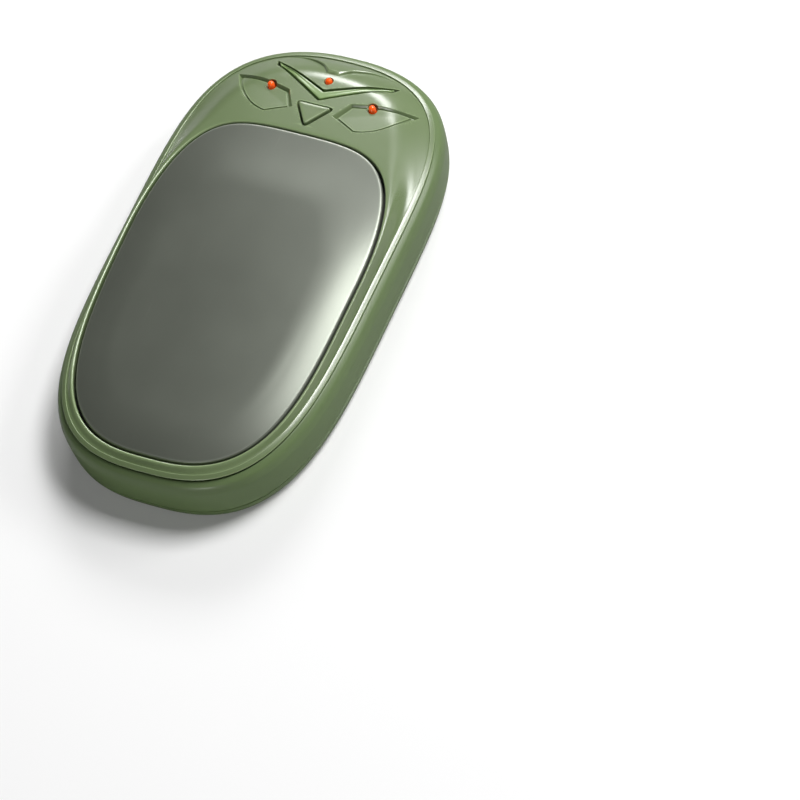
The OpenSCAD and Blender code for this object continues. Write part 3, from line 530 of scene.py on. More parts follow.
def moulded_group():
    """Moulded or painted surface: mottled colour, uneven gloss and fine grain."""
    tree, ins, outs = group(
        "Moulded surface",
        {
            "Colour": COLOUR, "Shift": COLOUR, "Mottle": FLOAT, "Grain Scale": FLOAT,
            "Gloss": FLOAT, "Unevenness": FLOAT,
        },
        {"Colour": COLOUR, "Roughness": FLOAT, "Height": FLOAT},
    )
    given = ins.outputs
    where = tree.nodes.new("ShaderNodeTexCoord").outputs["Object"]
    cloud = noise(tree, where, scale=60, detail=3)
    speck = noise(tree, where, scale=given["Grain Scale"], detail=2, roughness=0.7)
    share = math_node(tree, "SUBTRACT", cloud, 0.5)
    fine = math_node(tree, "SUBTRACT", speck, 0.5)
    both = math_node(tree, "MULTIPLY_ADD", fine, FINE_SHARE, share)
    factor = math_node(tree, "MULTIPLY_ADD", both, given["Mottle"], 0.5, clamp=True)
    gloss = math_node(tree, "MULTIPLY_ADD", both, given["Unevenness"], given["Gloss"], clamp=True)
    feed(tree, outs.inputs["Colour"], blend(tree, factor, given["Colour"], given["Shift"]))
    feed(tree, outs.inputs["Roughness"], gloss)
    feed(tree, outs.inputs["Height"], speck)


def rubbed_group():
    """Wear: faint scratches and rubbed patches, as a mask and a height."""
    tree, ins, outs = group(
        "Rubbed wear", {"Scratch Scale": FLOAT, "Amount": FLOAT}, {"Mask": FLOAT, "Height": FLOAT}
    )
    where = tree.nodes.new("ShaderNodeTexCoord").outputs["Object"]
    stretch = tree.nodes.new("ShaderNodeMapping")
    stretch.inputs["Rotation"].default_value = (0.2, 0.3, 0.6)
    stretch.inputs["Scale"].default_value = (1, 0.04, 1)
    feed(tree, stretch.inputs["Vector"], where)
    across = stretch.outputs["Vector"]
    lines = noise(tree, across, scale=ins.outputs["Scratch Scale"], detail=4, roughness=0.6)
    patch = noise(tree, where, scale=90, detail=2)
    scratches = excess(tree, lines, limit=0.64, gain=14)
    patches = excess(tree, patch, limit=0.45, gain=5)
    mask = math_node(tree, "MULTIPLY", scratches, patches)
    mask = math_node(tree, "MULTIPLY", mask, ins.outputs["Amount"], clamp=True)
    feed(tree, outs.inputs["Mask"], mask)
    feed(tree, outs.inputs["Height"], math_node(tree, "MULTIPLY", mask, -1))


def scaled(colour, share):
    """A colour times a share."""
    return tuple(c * share for c in colour)


def paler(colour, share, more):
    """A colour times a share plus a little, no channel over 1."""
    return tuple(min(c * share + more, 1) for c in colour)


def finish(
    name, colour, shift, gloss, grain=5000, bump=0.25, uneven=0.12, wear=0.15, edge=0.3,
    metal=0.0, coat=0.0, coat_gloss=0.1, sheen=0.5, glow=0.0,
):
    """One finish: the moulded surface, its wear and its paler outward edges (partly wear, partly a
    painted highlight) on a Principled BSDF.
    """
    packed = bpy.data.materials.get(name)
    if packed:
        packed.name = "packed_" + name
    material = bpy.data.materials.new(name)
    material.use_nodes = True
    tree = material.node_tree
    shader = tree.nodes["Principled BSDF"]
    surface = tree.nodes.new("ShaderNodeGroup")
    surface.node_tree = bpy.data.node_groups["Moulded surface"]
    wear_node = tree.nodes.new("ShaderNodeGroup")
    wear_node.node_tree = bpy.data.node_groups["Rubbed wear"]
    bump_node = tree.nodes.new("ShaderNodeBump")
    edge_wear_and_highlight = tree.nodes.new("ShaderNodeAttribute")
    edge_wear_and_highlight.attribute_name = "edge_wear_and_highlight"

    mask, moulded = wear_node.outputs["Mask"], surface.outputs
    scratched = blend(tree, mask, moulded["Colour"], (*paler(colour, *SCRATCHED), 1))
    # Outward edges are painted paler by the edge attribute times edge: partly wear, partly a painted
    # highlight.
    edge_wear_and_highlight_share = math_node(tree, "MULTIPLY", edge_wear_and_highlight.outputs["Fac"], edge, clamp=True)
    base = blend(tree, edge_wear_and_highlight_share, scratched, (*paler(colour, *EDGE_WEAR_AND_HIGHLIGHT_TONE), 1))
    rough = math_node(
        tree, "MULTIPLY_ADD", mask, SCRATCH_GLOSS, moulded["Roughness"], clamp=True
    )
    scratch = wear_node.outputs["Height"]
    height = math_node(tree, "MULTIPLY_ADD", scratch, SCRATCH_DEPTH, moulded["Height"])
    for node, values in (
        (surface, {
            "Colour": (*colour, 1), "Shift": (*shift, 1), "Mottle": 1.0,
            "Grain Scale": grain, "Gloss": gloss, "Unevenness": uneven,
        }),
        (wear_node, {"Scratch Scale": SCRATCH_SCALE, "Amount": wear}),
        (bump_node, {"Strength": bump, "Distance": GRAIN_DEPTH, "Height": height}),
        (shader, {
            "Base Color": base, "Roughness": rough, "Normal": bump_node.outputs["Normal"],
            "Metallic": metal, "Coat Weight": coat, "Coat Roughness": coat_gloss,
            "Specular IOR Level": sheen,
        }),
    ):
        for label, value in values.items():
            feed(tree, node.inputs[label], value)
    if glow:
        shader.inputs["Emission Color"].default_value = (*colour, 1)
        shader.inputs["Emission Strength"].default_value = glow


def make_finishes():
    """All the finishes of the record's slots."""
    looks = bpy.context.scene.warmer_looks
    moulded_group()
    rubbed_group()
    shell, wall, inlay = tuple(looks.shell), tuple(looks.wall), tuple(looks.inlay)
    plate, lens = tuple(looks.plate), tuple(looks.lens)
    # edge sets how much paler outward edges are painted, partly as wear and partly as a painted
    # highlight; the plate's edge=1.0 gives its rim the palest edge.
    finish("shell_green", shell, scaled(shell, 1.12), 0.3, coat=1.0, coat_gloss=0.21)
    finish(
        "wall_green", wall, scaled(wall, 1.12), 0.36, edge=0.1, coat=0.2, coat_gloss=0.24, sheen=0.25,
    )
    finish("inlay_green", inlay, scaled(inlay, 1.1), 0.25, coat=0.3)
    finish(
        "plate_metal", plate, scaled(plate, 1.15), looks.plate_gloss, grain=3500, bump=0.4,
        uneven=0.1, wear=0.1, edge=1.0, metal=0.5, coat=0.22, coat_gloss=0.38,
    )
    finish(
        "lens_orange", lens, scaled(lens, 1.1), 0.12, bump=0.05, uneven=0.04, wear=0.05,
        coat=0.6, coat_gloss=0.04, glow=looks.lens_glow,
    )
    finish("black_rubber", (0.006, 0.006, 0.006), (0.012, 0.012, 0.011), 0.6)
    finish("film_amber", (0.45, 0.16, 0.03), (0.55, 0.22, 0.05), 0.3)
    finish("lead_white", (0.6, 0.58, 0.52), (0.68, 0.66, 0.6), 0.45)
    finish("lead_red", (0.4, 0.03, 0.02), (0.5, 0.05, 0.03), 0.45)
    finish("foam", (0.62, 0.6, 0.54), (0.7, 0.68, 0.62), 0.85, grain=2500, bump=0.9)
    finish("cell_foil", (0.42, 0.44, 0.45), (0.5, 0.52, 0.53), 0.32, metal=0.9)
    finish("tape_white", (0.75, 0.73, 0.68), (0.82, 0.8, 0.76), 0.6)
    finish("board_green", (0.02, 0.13, 0.05), (0.03, 0.17, 0.07), 0.3, coat=0.3)
    finish("frame_plastic", (0.035, 0.038, 0.034), (0.05, 0.053, 0.048), 0.5)
    finish("screw_steel", (0.5, 0.51, 0.52), (0.58, 0.59, 0.6), 0.28, metal=1.0)
    finish("chip_black", (0.012, 0.013, 0.014), (0.02, 0.021, 0.022), 0.45)
    finish("ceramic", (0.38, 0.24, 0.13), (0.45, 0.3, 0.18), 0.4)
    finish("led_white", (0.85, 0.8, 0.6), (0.9, 0.86, 0.7), 0.25)
    finish("socket_steel", (0.55, 0.56, 0.57), (0.62, 0.63, 0.64), 0.25, metal=1.0)
    finish("contact_gold", (0.75, 0.5, 0.14), (0.82, 0.58, 0.2), 0.22, metal=1.0)


# Pieces


def eye_lines():
    """The right eye's outline at its floor and at the face."""

    def loop(top, belly):
        top, belly = np.array(top) * EYE_SIZE, np.array(belly) * EYE_SIZE
        return np.vstack([bend(belly[2], belly[1], belly[0], 16), top[::-1]]) + EYE_AT

    mouth = loop([[0, 0.27], [0.155, 0.716], [0.5, 0.865]], [[1, 1], [0.73, 0.11], [0.34, 0]])
    floor = loop(
        [[0.05, 0.266], [0.168, 0.662], [0.515, 0.822]],
        [[0.945, 0.935], [0.73, 0.13], [0.345, 0.022]],
    )
    return refined(floor, EYE_STEP, mouth), refined(mouth, EYE_STEP)


def eye_depth(p):
    """Depth of an eye's floor under the face, more beside the brow."""
    u = (np.abs(p[:, 0]) - EYE_AT[0]) / EYE_SIZE[0]
    v = (p[:, 1] - EYE_AT[1]) / EYE_SIZE[1]
    return EYE_DEPTH + EYE_DEEPER * np.clip((v - EYE_SLOPE * u + EYE_SHIFT) / EYE_BAND, 0, 1)


def brow_line(shares, radius):
    """The V of the brow, from four points of its right arm."""
    arm = np.array(shares) * BROW_SIZE + BROW_AT
    both = np.vstack([arm, mirrored(arm)[1:3]])
    return refined(softened(both, radius), OUTLINE_STEP)


def button_outline(out):
    """The triangular cap's outline, moved out so far."""
    share = (BUTTON_INNER + out) / BUTTON_INNER
    corners = BUTTON_MIDDLE + (BUTTON_CORNERS - BUTTON_MIDDLE) * share
    return softened(corners, BUTTON_ROUND + 2 * out, 6)


def cover_rings(form):
    """The front cover's rings: bead, shoulder, face, the plate's shelf, the roof inside, the lip."""
    rings = [form.over_rim(form.body_ring(RIM_INSET + BEAD_START), 0)]
    for x, z in curve_through(BEAD_PROFILE, 4):
        ring = form.body_ring(RIM_INSET + x * form.bead[0])
        rings.append(form.over_rim(ring, z * form.bead_rise(ring)))
    ring = form.body_ring(form.crease - CREASE_START)
    rings.append(form.over_rim(ring, form.bead_rise(ring) - CREASE - CREASE_DIP))

    crease, mouth = form.body_ring(form.crease), form.plate_ring(-OPEN_HALF - MOUTH_R)
    for k in range(1, SHOULDER_STEPS + 1):
        ring = crease + (k / SHOULDER_STEPS) ** SHOULDER_CROWDING * (mouth - crease)
        rings.append(form.over_cover(ring, 0))
    for angle in np.radians([15, 30, 45, 60, 75, 90]):
        ring = form.plate_ring(-OPEN_HALF - MOUTH_R * (1 - math.sin(angle)))
        rings.append(form.over_face(ring, MOUTH_R * (math.cos(angle) - 1)))
    edge, inner = form.plate_ring(-OPEN_HALF), form.plate_ring(SHELF_WIDTH - OPEN_HALF)
    rings.append(form.over_face(edge, SHELF_TOP))
    rings += [form.over_face(inner, SHELF_TOP), form.over_face(inner, SHELF_LOW)]

    lip_inset = form.crease + LIP_INSET
    low, shelf = form.body_ring(lip_inset), form.plate_ring(0)
    rings.append(form.over_face(shelf, SHELF_LOW))
    for share in ROOF_SHARES:
        ring = low + share * (shelf - low)
        sunk = form.rim_z(low) + share * (form.face_z(shelf) + SHELF_LOW - form.rim_z(low))
        room = np.minimum(form.body_depth(ring) - lip_inset, -form.plate_depth(ring))
        roof = np.minimum(form.cover_z(ring) - WALL, sunk + 2 * np.maximum(room, 0))
        rings.append(lifted(ring, np.maximum(sunk, roof)))
    lip = form.body_ring(form.crease + FIT)
    rings += [form.over_rim(low, 0), form.over_rim(low, -LIP_DEPTH)]
    rings += [form.over_rim(lip, -LIP_DEPTH), form.over_rim(lip, 0)]
    return rings


def lens_cutter(form, place, notched):
    """A lens's hole, with a wider notch round it in an eye, as a tool for the cover."""
    hole, notch = LENS_R + LENS_GAP, LENS_R + NOTCH_GAP
    steps = [(0, -LENS_HOLE_DEPTH), (hole, -LENS_HOLE_DEPTH)]
    if notched:
        steps += [(hole, -NOTCH_DEPTH), (notch, -NOTCH_DEPTH)]
    last = steps[-1][0]
    steps += [(last + out, up) for out, up in rounded_edge(form.edge)]
    steps += [(steps[-1][0], TOOL_TOP), (0, TOOL_TOP)]
    return lofted("lens_cutter", [form.over_cover(place + r * circle(48), up) for r, up in steps])


def crest_front(notch):
    """The crest's front line: the notch in its middle and an arc to each side."""
    inner = np.array(notch) * CREST_SIZE
    arc = np.array([[0.62, 1.47], [1, 0.55]]) * CREST_SIZE
    straight = inner[0] + (inner[1] - inner[0]) * (np.arange(12) / 12)[:, None]
    half = np.vstack([straight, bend(inner[1], *arc, 40)])
    return np.vstack([mirrored(half), [[0, inner[0][1]]], half]) + CREST_AT


def crest_rise(form, p):
    """Rise of the crest over the face; it ends at the crease and at both sides."""
    inward = np.clip((form.body_depth(p) - form.crease) / CREST_RUN, 0, 1)
    across = np.maximum(1 - (p[:, 0] / CREST_SIZE[0]) ** 2, 0)
    return form.crest * across * (1 - (1 - inward) ** 2) - FIT


def build_crest(form):
    """The raised crest: two arcs and a notch, with a leaning wall and a rounded top edge."""
    foot = crest_front([[0.09, -0.1], [0.2, 0.41]])
    top = crest_front([[0.072, 0.14], [0.214, 0.59]])
    ahead = form.body_ring(form.crease)
    ahead = ahead[ahead[:, 1] > HEAD_SIDE]
    ahead = ahead[np.argsort(ahead[:, 0])]
    back = np.stack([top[:, 0], np.interp(top[:, 0], ahead[:, 0], ahead[:, 1])], 1)

    top_rise = np.maximum(crest_rise(form, top), 0.0)
    rows = [form.over_cover(foot, -CREST_SINK), form.over_cover(foot, -CREST_ROOT)]
    for share in (0.45, 0.8):
        rows.append(form.over_cover(foot + share * (top - foot), share * top_rise))
    inwards = np.array([0, CREST_EDGE * form.edge])
    for out, up in ((0.0, -0.5), (0.35, -0.12), (1.0, 0.0)):
        p = top + out * inwards
        rows.append(form.over_cover(p, crest_rise(form, p) + up * np.minimum(form.edge, top_rise)))
    for k in range(1, CREST_STEPS + 1):
        p = top + inwards + (k / CREST_STEPS) * (back - top - inwards)
        rows.append(form.over_cover(p, crest_rise(form, p)))
    rows.append(form.over_cover(back, -CREST_SINK))
    section = np.array(rows).transpose(1, 0, 2)
    ends = [np.tile(section[k].mean(0), (len(rows), 1)) for k in (0, -1)]
    return lofted("crest", [ends[0], *section, ends[1]])


def build_front_cover(form):
    """Front cover: rim bead, rolled shoulder, crowned face with its recesses, and the crest."""
    cover = lofted("front_cover_shell", cover_rings(form))
    right = eye_lines()
    left = [mirrored(line) for line in right]
    for lines, side in ((right, 1), (left, -1)):
        heart = EYE_HEART * [side, 1]
        carve(cover, well(form, "eye_cutter", lines, eye_depth, heart, EYE_EDGE, EYE_GROOVE))
    for name, place in LENSES.items():
        carve(cover, lens_cutter(form, place, "eye" in name))
    slot = brow_line([[0, 0], [0.955, 0.83], [1, 1], [0, 0.333]], [0.35, 0.3, 0.15, 0.5, 0.15, 0.3])
    carve(cover, well(form, "slot_cutter", (slot, slot), SLOT_DEPTH, SLOT_HEART, form.edge))
    cap = refined(button_outline(BUTTON_GAP), BUTTON_STEP)
    carve(cover, well(form, "button_cutter", (cap, cap), BUTTON_DEPTH, BUTTON_HEART, form.edge))
    joined(cover, build_crest(form))
    finished(cover, "shell_green", ["front_cover"])


def build_inlay(form):
    """Light-green inlay in the brow's slot, with a rounded upper edge."""
    line = brow_line([[0, 0.08], [0.9, 0.848], [0.94, 0.935], [0, 0.29]], 0.1)
    rays = line - INLAY_HEART
    rings = [form.over_cover(INLAY_HEART + share * rays, INLAY_FOOT) for share in (0, 1)]
    for out, down in ((0, 1), (0.3, 0.3), (1, 0)):
        rings.append(form.over_cover(grown(line, -out * INLAY_EDGE), INLAY_TOP - down * INLAY_EDGE))
    for share in (0.6, 0.3, 0):
        rings.append(form.over_cover(INLAY_HEART + share * rays, INLAY_TOP))
    finished(lofted("brow_inlay_piece", rings), "inlay_green", ["brow_inlay"])


def build_button(form):
    """Triangular cap of the power button, with a rounded edge, and its flange."""
    middle, wide = BUTTON_MIDDLE, button_outline(FLANGE)
    flange, line = refined(wide, BUTTON_STEP), refined(button_outline(0), BUTTON_STEP, wide)
    slope = np.array([0.0, -2 * END_DROP * (middle[1] - WIDEST_Y) / FACE_REACH**2])
    face = form.face_z(middle[None])[0]
    foot, top = face - WALL - FLANGE_DROP - FIT, face + BUTTON_RISE
    rings = []
    for share in (0, 1):
        rings.append(lifted(middle + share * (flange - middle), foot - FLANGE_THICK + SPARE))
    rings += [lifted(flange, foot), lifted(line, foot)]
    for a in np.radians([0, 22, 45, 67, 90]):
        ring = grown(line, -BUTTON_EDGE * (1 - math.cos(a)))
        rings.append(lifted(ring, top + (ring - middle) @ slope - BUTTON_EDGE * (1 - math.sin(a))))
    rays = ring - middle
    for share in (0.7, 0.35, 0):
        rings.append(lifted(middle + share * rays, top + share * rays @ slope))
    finished(lofted("power_button_cap", rings), "shell_green", ["power_button"], body="button")


def build_housing(form):
    """Side housing: a bulged wall between the two seams, with the charging socket's slot."""
    low = form.seam + WALL_GAP
    rings = [lifted(form.body_ring(WALL_PROFILE[0][0] * RIM_INSET + WALL_START), low)]
    for x, z in curve_through(WALL_PROFILE, 6):
        ring = form.body_ring(x * RIM_INSET)
        rings.append(lifted(ring, low + z * (form.rim_z(ring) - SEAM_OPEN - low)))
    lip, inner = form.body_ring(form.crease), form.body_ring(WALL)
    rings += [form.over_rim(lip, -SEAM_OPEN), form.over_rim(lip, -LIP_DEPTH - FIT)]
    rings += [form.over_rim(inner, -LIP_DEPTH - 1), lifted(inner, low)]
    obj = lofted("side_housing_wall", rings)
    carve(obj, socket_cutter())
    finished(obj, "wall_green", ["side_housing"])


def socket_cutter():
    """The charging socket's slot with a flared mouth, as a tool for the housing."""
    middle = np.array([0, SOCKET_Z])
    half, high = (size + SOCKET_GAP for size in SOCKET_HALVES)
    corners = np.array([[half, -high], [half, high], [-half, high], [-half, -high]]) + middle
    line = refined(softened(corners, high * 0.96, 10), OUTLINE_STEP)
    point = np.tile(middle, (len(line), 1))
    steps = [(y, grown(line, out)) for y, out in SOCKET_FLARE]
    steps = [(steps[0][0], point), *steps, (steps[-1][0], point)]
    rings = [np.column_stack([ring[:, 0], np.full(len(line), y), ring[:, 1]]) for y, ring in steps]
    return lofted("socket_cutter", rings)


def build_back_cover(form):
    """Back cover: a flat foot, a rolled edge and the lip inside the housing."""
    centre, foot = np.zeros_like(form.line), form.body_ring(FOOT_PROFILE[0][0])
    rings = [lifted(centre, 0), lifted(foot * 0.5, 0)]
    for x, z in curve_through(FOOT_PROFILE, 4):
        rings.append(lifted(form.body_ring(x), max(z, 0) * form.seam))
    outer, inner = BACK_LIP
    for inset, z in (
        (BACK_EDGE, 0), (outer, 0), (outer, LIP_DEPTH), (inner, LIP_DEPTH), (inner, WALL - form.seam),
    ):
        rings.append(lifted(form.body_ring(inset), form.seam + z))
    rings.append(lifted(centre, WALL))
    finished(lofted("back_cover_shell", rings), "wall_green", ["back_cover"])


def build_plate(form):
    """Heating plate: a pillow-crowned aluminium shell with a rolled edge."""
    middle = np.array([0, PLATE_Y])
    under = form.plate_ring(UNDER_INSET)
    rings = []
    for share in (0, 0.5, 1):
        ring = middle + share * (under - middle)
        rise = form.pillow(ring, UNDER_INSET + UNDER_RUN * (1 - share))
        rings.append(form.over_face(ring, rise - PLATE_THICK))
    for inset in (FOOT_INSET, OPEN_HALF):
        rings.append(form.over_face(form.plate_ring(inset), -PLATE_SINK - PLATE_THICK - EDGE_ROLL))
    for a in np.radians(np.arange(0, 91, 15)):
        inset = EDGE_ROLL * (1 - math.cos(a))
        ring = form.plate_ring(OPEN_HALF + inset)
        rings.append(form.over_face(ring, form.pillow(ring, inset) - EDGE_ROLL * (1 - math.sin(a))))
    for inset in np.arange(0.9, CORE_INSET, 0.3):
        ring = form.plate_ring(inset)
        rings.append(form.over_face(ring, form.pillow(ring, inset - OPEN_HALF)))
    core = form.plate_ring(CORE_INSET) - middle
    for share in np.linspace(1, 0, CORE_STEPS):
        ring = share * core + middle
        inset = CORE_INSET - OPEN_HALF + (1 - share) * np.linalg.norm(core, axis=1)
        rings.append(form.over_face(ring, form.pillow(ring, inset)))
    finished(lofted("heating_plate_shell", rings), "plate_metal", ["heating_plate"])


def build_gasket(form):
    """The dark gasket that shows in the gap round the plate."""
    outer, inner = (form.plate_ring(inset) for inset in GASKET_INSETS)
    top = SHELF_TOP + GASKET_TOP
    low = top - GASKET_THICK
    rings = [form.over_face(outer, low), form.over_face(outer, top)]
    rings += [form.over_face(inner, top), form.over_face(inner, low)]
    finished(lofted("plate_gasket_ring", rings), "black_rubber", ["plate_gasket"])


def build_lens(form, node):
    """One domed light pipe with its flange."""
    place = np.array(LENSES[node])
    face = form.cover_z(place[None])[0]
    low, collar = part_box(node)[0].z / MM, face - WALL - COLLAR_DROP - FIT
    wide, under = LENS_R + COLLAR, collar - COLLAR
    steps = [(0, low), (LENS_R, low), (LENS_R, under), (wide, under), (wide, collar), (LENS_R, collar)]
    for a in np.linspace(0, np.pi / 2, 14):
        steps.append((LENS_R * math.cos(a), face - DOME_SINK + LENS_R * math.sin(a)))
    rings = [lifted(place + r * circle(40), z) for r, z in steps]
    finished(lofted(node + "_dome", rings), "lens_orange", [node])


# Inner pieces that keep the CAD model's shape and get only a finish
KEPT = {
    "film_amber": ["heater_film", "terminal_tape"],
    "lead_white": ["heater_leads"],
    "lead_red": ["sensor_leads", "battery_leads"],
    "foam": ["insulation_pad"],
    "cell_foil": ["battery_cell"],
    "tape_white": ["cell_tape"],
    "board_green": ["protection_board", "circuit_board"],
    "frame_plastic": ["inner_frame"],
    "screw_steel": ["frame_screws", "switch_cover"],
    "chip_black": [
        "temperature_sensor", "charge_chip", "control_chip", "power_inductor", "resistors",
        "switch_body", "switch_plunger", "usb_tongue",
    ],
    "ceramic": ["capacitors"],
    "led_white": ["indicator_leds"],
    "socket_steel": ["usb_shell"],
    "contact_gold": ["usb_contacts"],
}


# Settings in the panel


class WarmerSizes(PropertyGroup):
    """Sizes of the visible pieces."""

    length: FloatProperty(
        name="Length", description="Tail to head", default=0.104, subtype="DISTANCE"
    )
    width: FloatProperty(
        name="Width", description="Widest part", default=0.0577, subtype="DISTANCE"
    )
    face_height: FloatProperty(
        name="Face Height", description="Crown of the face", default=0.0175, subtype="DISTANCE"
    )
    rim_height: FloatProperty(
        name="Rim Height", description="Seam under the rim bead", default=0.0121, subtype="DISTANCE"
    )
    back_seam: FloatProperty(
        name="Back Seam", description="Seam over the back cover", default=0.003, subtype="DISTANCE"
    )
    bead_width: FloatProperty(
        name="Bead Width", description="Width of the rim bead", default=0.001, subtype="DISTANCE"
    )
    bead_height: FloatProperty(
        name="Bead Height", description="Height of the rim bead", default=0.00075, subtype="DISTANCE"
    )
    plate_crown: FloatProperty(
        name="Plate Crown", description="Rise of the plate's pillow", default=0.0011, subtype="DISTANCE"
    )
    crest_rise: FloatProperty(
        name="Crest Rise", description="Rise of the crest", default=0.0007, subtype="DISTANCE"
    )
    edge_round: FloatProperty(
        name="Edge Radius", description="Radius of moulded edges", default=0.00012, subtype="DISTANCE"
    )
    columns: IntProperty(
        name="Columns", description="Steps round each outline", default=256, min=64, max=256
    )


class WarmerLooks(PropertyGroup):
    """Colours and gloss of the finishes, as linear colour."""

    shell: FloatVectorProperty(
        name="Shell", description="Front cover", subtype="COLOR", size=3,
        default=(0.135, 0.185, 0.085),
    )
    wall: FloatVectorProperty(
        name="Wall", description="Housing and back", subtype="COLOR", size=3,
        default=(0.115, 0.166, 0.07),
    )
    inlay: FloatVectorProperty(
        name="Inlay", description="Brow inlay", subtype="COLOR", size=3,
        default=(0.2, 0.29, 0.12),
    )
    plate: FloatVectorProperty(
        name="Plate", description="Heating plate", subtype="COLOR", size=3,
        default=(0.14, 0.153, 0.126),
    )
    plate_gloss: FloatProperty(
        name="Plate Roughness", description="Roughness of the plate", default=0.38, min=0, max=1,
        subtype="FACTOR",
    )
    lens: FloatVectorProperty(
        name="Lens", description="Indicator lenses", subtype="COLOR", size=3,
        default=(1.0, 0.09, 0.005),
    )
    lens_glow: FloatProperty(
        name="Lens Glow", description="Light of the lenses", default=0.2, min=0
    )


class WarmerStage(PropertyGroup):
    """Camera, light and floor."""

    focal_length: FloatProperty(
        name="Focal Length", description="Camera lens", default=316.935, unit="CAMERA"
    )
    sky: FloatProperty(name="Sky", description="Strength of the world", default=0.03, min=0)
    floor_white: FloatProperty(
        name="Floor White", description="Glow that the camera sees", default=0.1, min=0
    )


# Operators of the pieces


class WARMER_OT_finishes(Operator):
    """Makes every finish and gives the kept inner pieces theirs"""

    bl_idname = "warmer.finishes"
    bl_label = "Finishes"
    bl_options = UNDOABLE

    def execute(self, context):
        make_finishes()
        for material, nodes in KEPT.items():
            for node in nodes:
                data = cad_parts[node].data
                data.materials.clear()
                data.materials.append(bpy.data.materials[material])
        return {"FINISHED"}


class WARMER_OT_front_cover(Operator):
    """Builds the front cover with its recesses and its crest"""

    bl_idname = "warmer.front_cover"
    bl_label = "Front Cover"
    bl_options = UNDOABLE

    def execute(self, context):
        build_front_cover(Form())
        return {"FINISHED"}


class WARMER_OT_brow_inlay(Operator):
    """Builds the light-green inlay of the brow"""

    bl_idname = "warmer.brow_inlay"
    bl_label = "Brow Inlay"
    bl_options = UNDOABLE

    def execute(self, context):
        build_inlay(Form())
        return {"FINISHED"}


class WARMER_OT_power_button(Operator):
    """Builds the triangular button cap"""

    bl_idname = "warmer.power_button"
    bl_label = "Power Button"
    bl_options = UNDOABLE

    def execute(self, context):
        build_button(Form())
        return {"FINISHED"}


class WARMER_OT_side_housing(Operator):
    """Builds the side housing with the charging socket's slot"""

    bl_idname = "warmer.side_housing"
    bl_label = "Side Housing"
    bl_options = UNDOABLE

    def execute(self, context):
        build_housing(Form())
        return {"FINISHED"}


class WARMER_OT_back_cover(Operator):
    """Builds the back cover"""

    bl_idname = "warmer.back_cover"
    bl_label = "Back Cover"
    bl_options = UNDOABLE

    def execute(self, context):
        build_back_cover(Form())
        return {"FINISHED"}


class WARMER_OT_heating_plate(Operator):
    """Builds the heating plate"""

    bl_idname = "warmer.heating_plate"
    bl_label = "Heating Plate"
    bl_options = UNDOABLE

    def execute(self, context):
        build_plate(Form())
        return {"FINISHED"}


class WARMER_OT_plate_gasket(Operator):
    """Builds the gasket round the plate"""

    bl_idname = "warmer.plate_gasket"
    bl_label = "Plate Gasket"
    bl_options = UNDOABLE

    def execute(self, context):
        build_gasket(Form())
        return {"FINISHED"}


class WARMER_OT_lenses(Operator):
    """Builds the three indicator lenses"""

    bl_idname = "warmer.lenses"
    bl_label = "Lenses"
    bl_options = UNDOABLE

    def execute(self, context):
        for node in LENSES:
            build_lens(Form(), node)
        return {"FINISHED"}


# Stage; each lamp has its place, the point that it faces, its size, all in metres, and its watts
LAMPS = {
    "forehead_softbox": ((-0.25, 0.84, 0.545), (-0.25, 0.04, 0), (0.46, 0.29), 5.0),
    "front_fill": ((0.2, -1.2, 0.12), (0, 0, 0.01), (0.5, 0.2), 4.4),
    "side_softbox": ((0.335, 0.42, 0.90), (0.02, -0.01, 0), (0.33, 0.42), 9.6),
    "shoulder_softbox": ((0.62, 0.53, 0.6), (0.025, 0.015, 0), (0.2, 0.34), 3.1),
}
FLOOR_SIZE = 8
PAPER, MIRRORED_PAPER = (0.8, 0.8, 0.8, 1), (0.3, 0.3, 0.3, 1)
CAMERA_PLACE = (0.544194, -0.594772, 1.120570)
CAMERA_TURN = (32.67335, 11.80901, 23.48842)
SENSOR_WIDTH, CLIP_END = 36, 20


def build_floor(stage):
    """A pale floor that looks darker where the pieces mirror it."""
    bpy.ops.object.select_all(action="DESELECT")
    bpy.ops.mesh.primitive_plane_add(size=FLOOR_SIZE, location=(0, 0, 0))
    floor = bpy.context.object
    floor.name = "floor"
    material = bpy.data.materials.new("floor_paper")
    material.use_nodes = True
    tree = material.node_tree
    tree.nodes.clear()
    out, paper, lift, path, both = (
        tree.nodes.new("ShaderNode" + kind)
        for kind in ("OutputMaterial", "BsdfDiffuse", "Emission", "LightPath", "AddShader")
    )
    tone = blend(tree, path.outputs["Is Glossy Ray"], PAPER, MIRRORED_PAPER)
    feed(tree, paper.inputs["Color"], tone)
    strength = math_node(tree, "MULTIPLY", path.outputs["Is Camera Ray"], stage.floor_white)
    feed(tree, lift.inputs["Strength"], strength)
    feed(tree, both.inputs[0], paper.outputs[0])
    feed(tree, both.inputs[1], lift.outputs[0])
    feed(tree, out.inputs["Surface"], both.outputs[0])
    floor.data.materials.append(material)


def soft_light(name, place, target, size, power_w):
    """A rectangular lamp that faces a point, its second side as near as can be to the y axis."""
    lamp = bpy.data.lights.new(name, "AREA")
    lamp.shape = "RECTANGLE"
    lamp.size, lamp.size_y = size
    lamp.energy = power_w
    obj = bpy.data.objects.new(name, lamp)
    bpy.context.scene.collection.objects.link(obj)
    back = (Vector(place) - Vector(target)).normalized()
    side = Vector((0, 1, 0)).cross(back).normalized()
    turn = Matrix((side, back.cross(side), back)).transposed()
    obj.matrix_world = Matrix.Translation(place) @ turn.to_4x4()


def build_world(scene):
    """A white world for the camera and a faint one for the pieces."""
    sky = scene.warmer_stage.sky
    world = bpy.data.worlds.new("studio")
    scene.world = world
    world.use_nodes = True
    tree = world.node_tree
    background = tree.nodes["Background"]
    background.inputs["Color"].default_value = (1, 1, 1, 1)
    seen = tree.nodes.new("ShaderNodeLightPath").outputs["Is Camera Ray"]
    feed(tree, background.inputs["Strength"], math_node(tree, "MULTIPLY_ADD", seen, 1 - sky, sky))


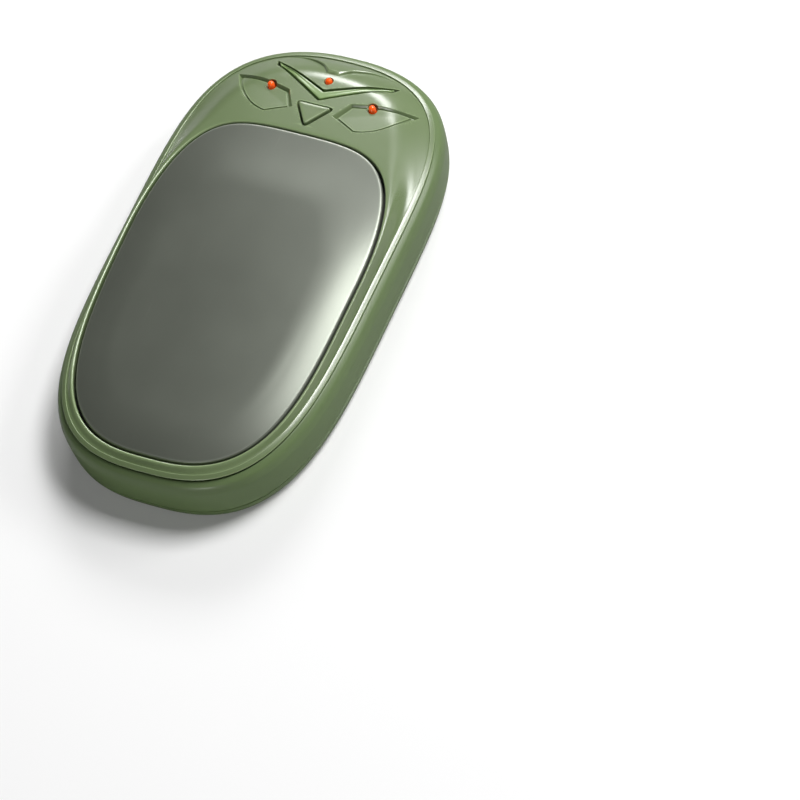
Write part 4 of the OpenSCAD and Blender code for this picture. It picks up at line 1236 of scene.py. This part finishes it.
def build_camera(scene):
    """The camera where the photo's camera stands."""
    camera = bpy.data.objects.new("camera", bpy.data.cameras.new("camera"))
    scene.collection.objects.link(camera)
    camera.data.sensor_width = SENSOR_WIDTH
    camera.data.lens = scene.warmer_stage.focal_length
    camera.data.clip_end = CLIP_END
    camera.location = CAMERA_PLACE
    camera.rotation_euler = [math.radians(angle) for angle in CAMERA_TURN]
    scene.camera = camera
    scene.view_settings.view_transform = "Standard"


class WARMER_OT_stage(Operator):
    """Sets up the pale floor, the soft light and the camera"""

    bl_idname = "warmer.stage"
    bl_label = "Stage"
    bl_options = UNDOABLE

    def execute(self, context):
        build_floor(context.scene.warmer_stage)
        for name, setup in LAMPS.items():
            soft_light(name, *setup)
        build_world(context.scene)
        build_camera(context.scene)
        return {"FINISHED"}


# Panel

SETTINGS = {"warmer_sizes": WarmerSizes, "warmer_looks": WarmerLooks, "warmer_stage": WarmerStage}
OPERATORS = (
    WARMER_OT_finishes, WARMER_OT_front_cover, WARMER_OT_brow_inlay, WARMER_OT_power_button,
    WARMER_OT_side_housing, WARMER_OT_back_cover, WARMER_OT_heating_plate,
    WARMER_OT_plate_gasket, WARMER_OT_lenses, WARMER_OT_stage,
)


class WARMER_PT_pieces(Panel):
    """Lists the sizes, the looks, the stage and the operators"""

    bl_label = "Hand Warmer"
    bl_idname = "WARMER_PT_pieces"
    bl_space_type = "VIEW_3D"
    bl_region_type = "UI"
    bl_category = "Hand Warmer"

    def draw(self, context):
        layout, scene = self.layout, context.scene
        for settings in SETTINGS:
            box = layout.box()
            for name in SETTINGS[settings].__annotations__:
                box.prop(getattr(scene, settings), name)
        for operator in OPERATORS:
            layout.operator(operator.bl_idname)


CLASSES = (*SETTINGS.values(), *OPERATORS, WARMER_PT_pieces)


def register():
    for cls in CLASSES:
        bpy.utils.register_class(cls)
    for name, cls in SETTINGS.items():
        setattr(bpy.types.Scene, name, PointerProperty(type=cls))


def unregister():
    for name in SETTINGS:
        delattr(bpy.types.Scene, name)
    for cls in reversed(CLASSES):
        bpy.utils.unregister_class(cls)


def main():
    register()
    for operator in OPERATORS:
        getattr(bpy.ops.warmer, operator.bl_idname.split(".")[1])()


if __name__ == "__main__":
    main()
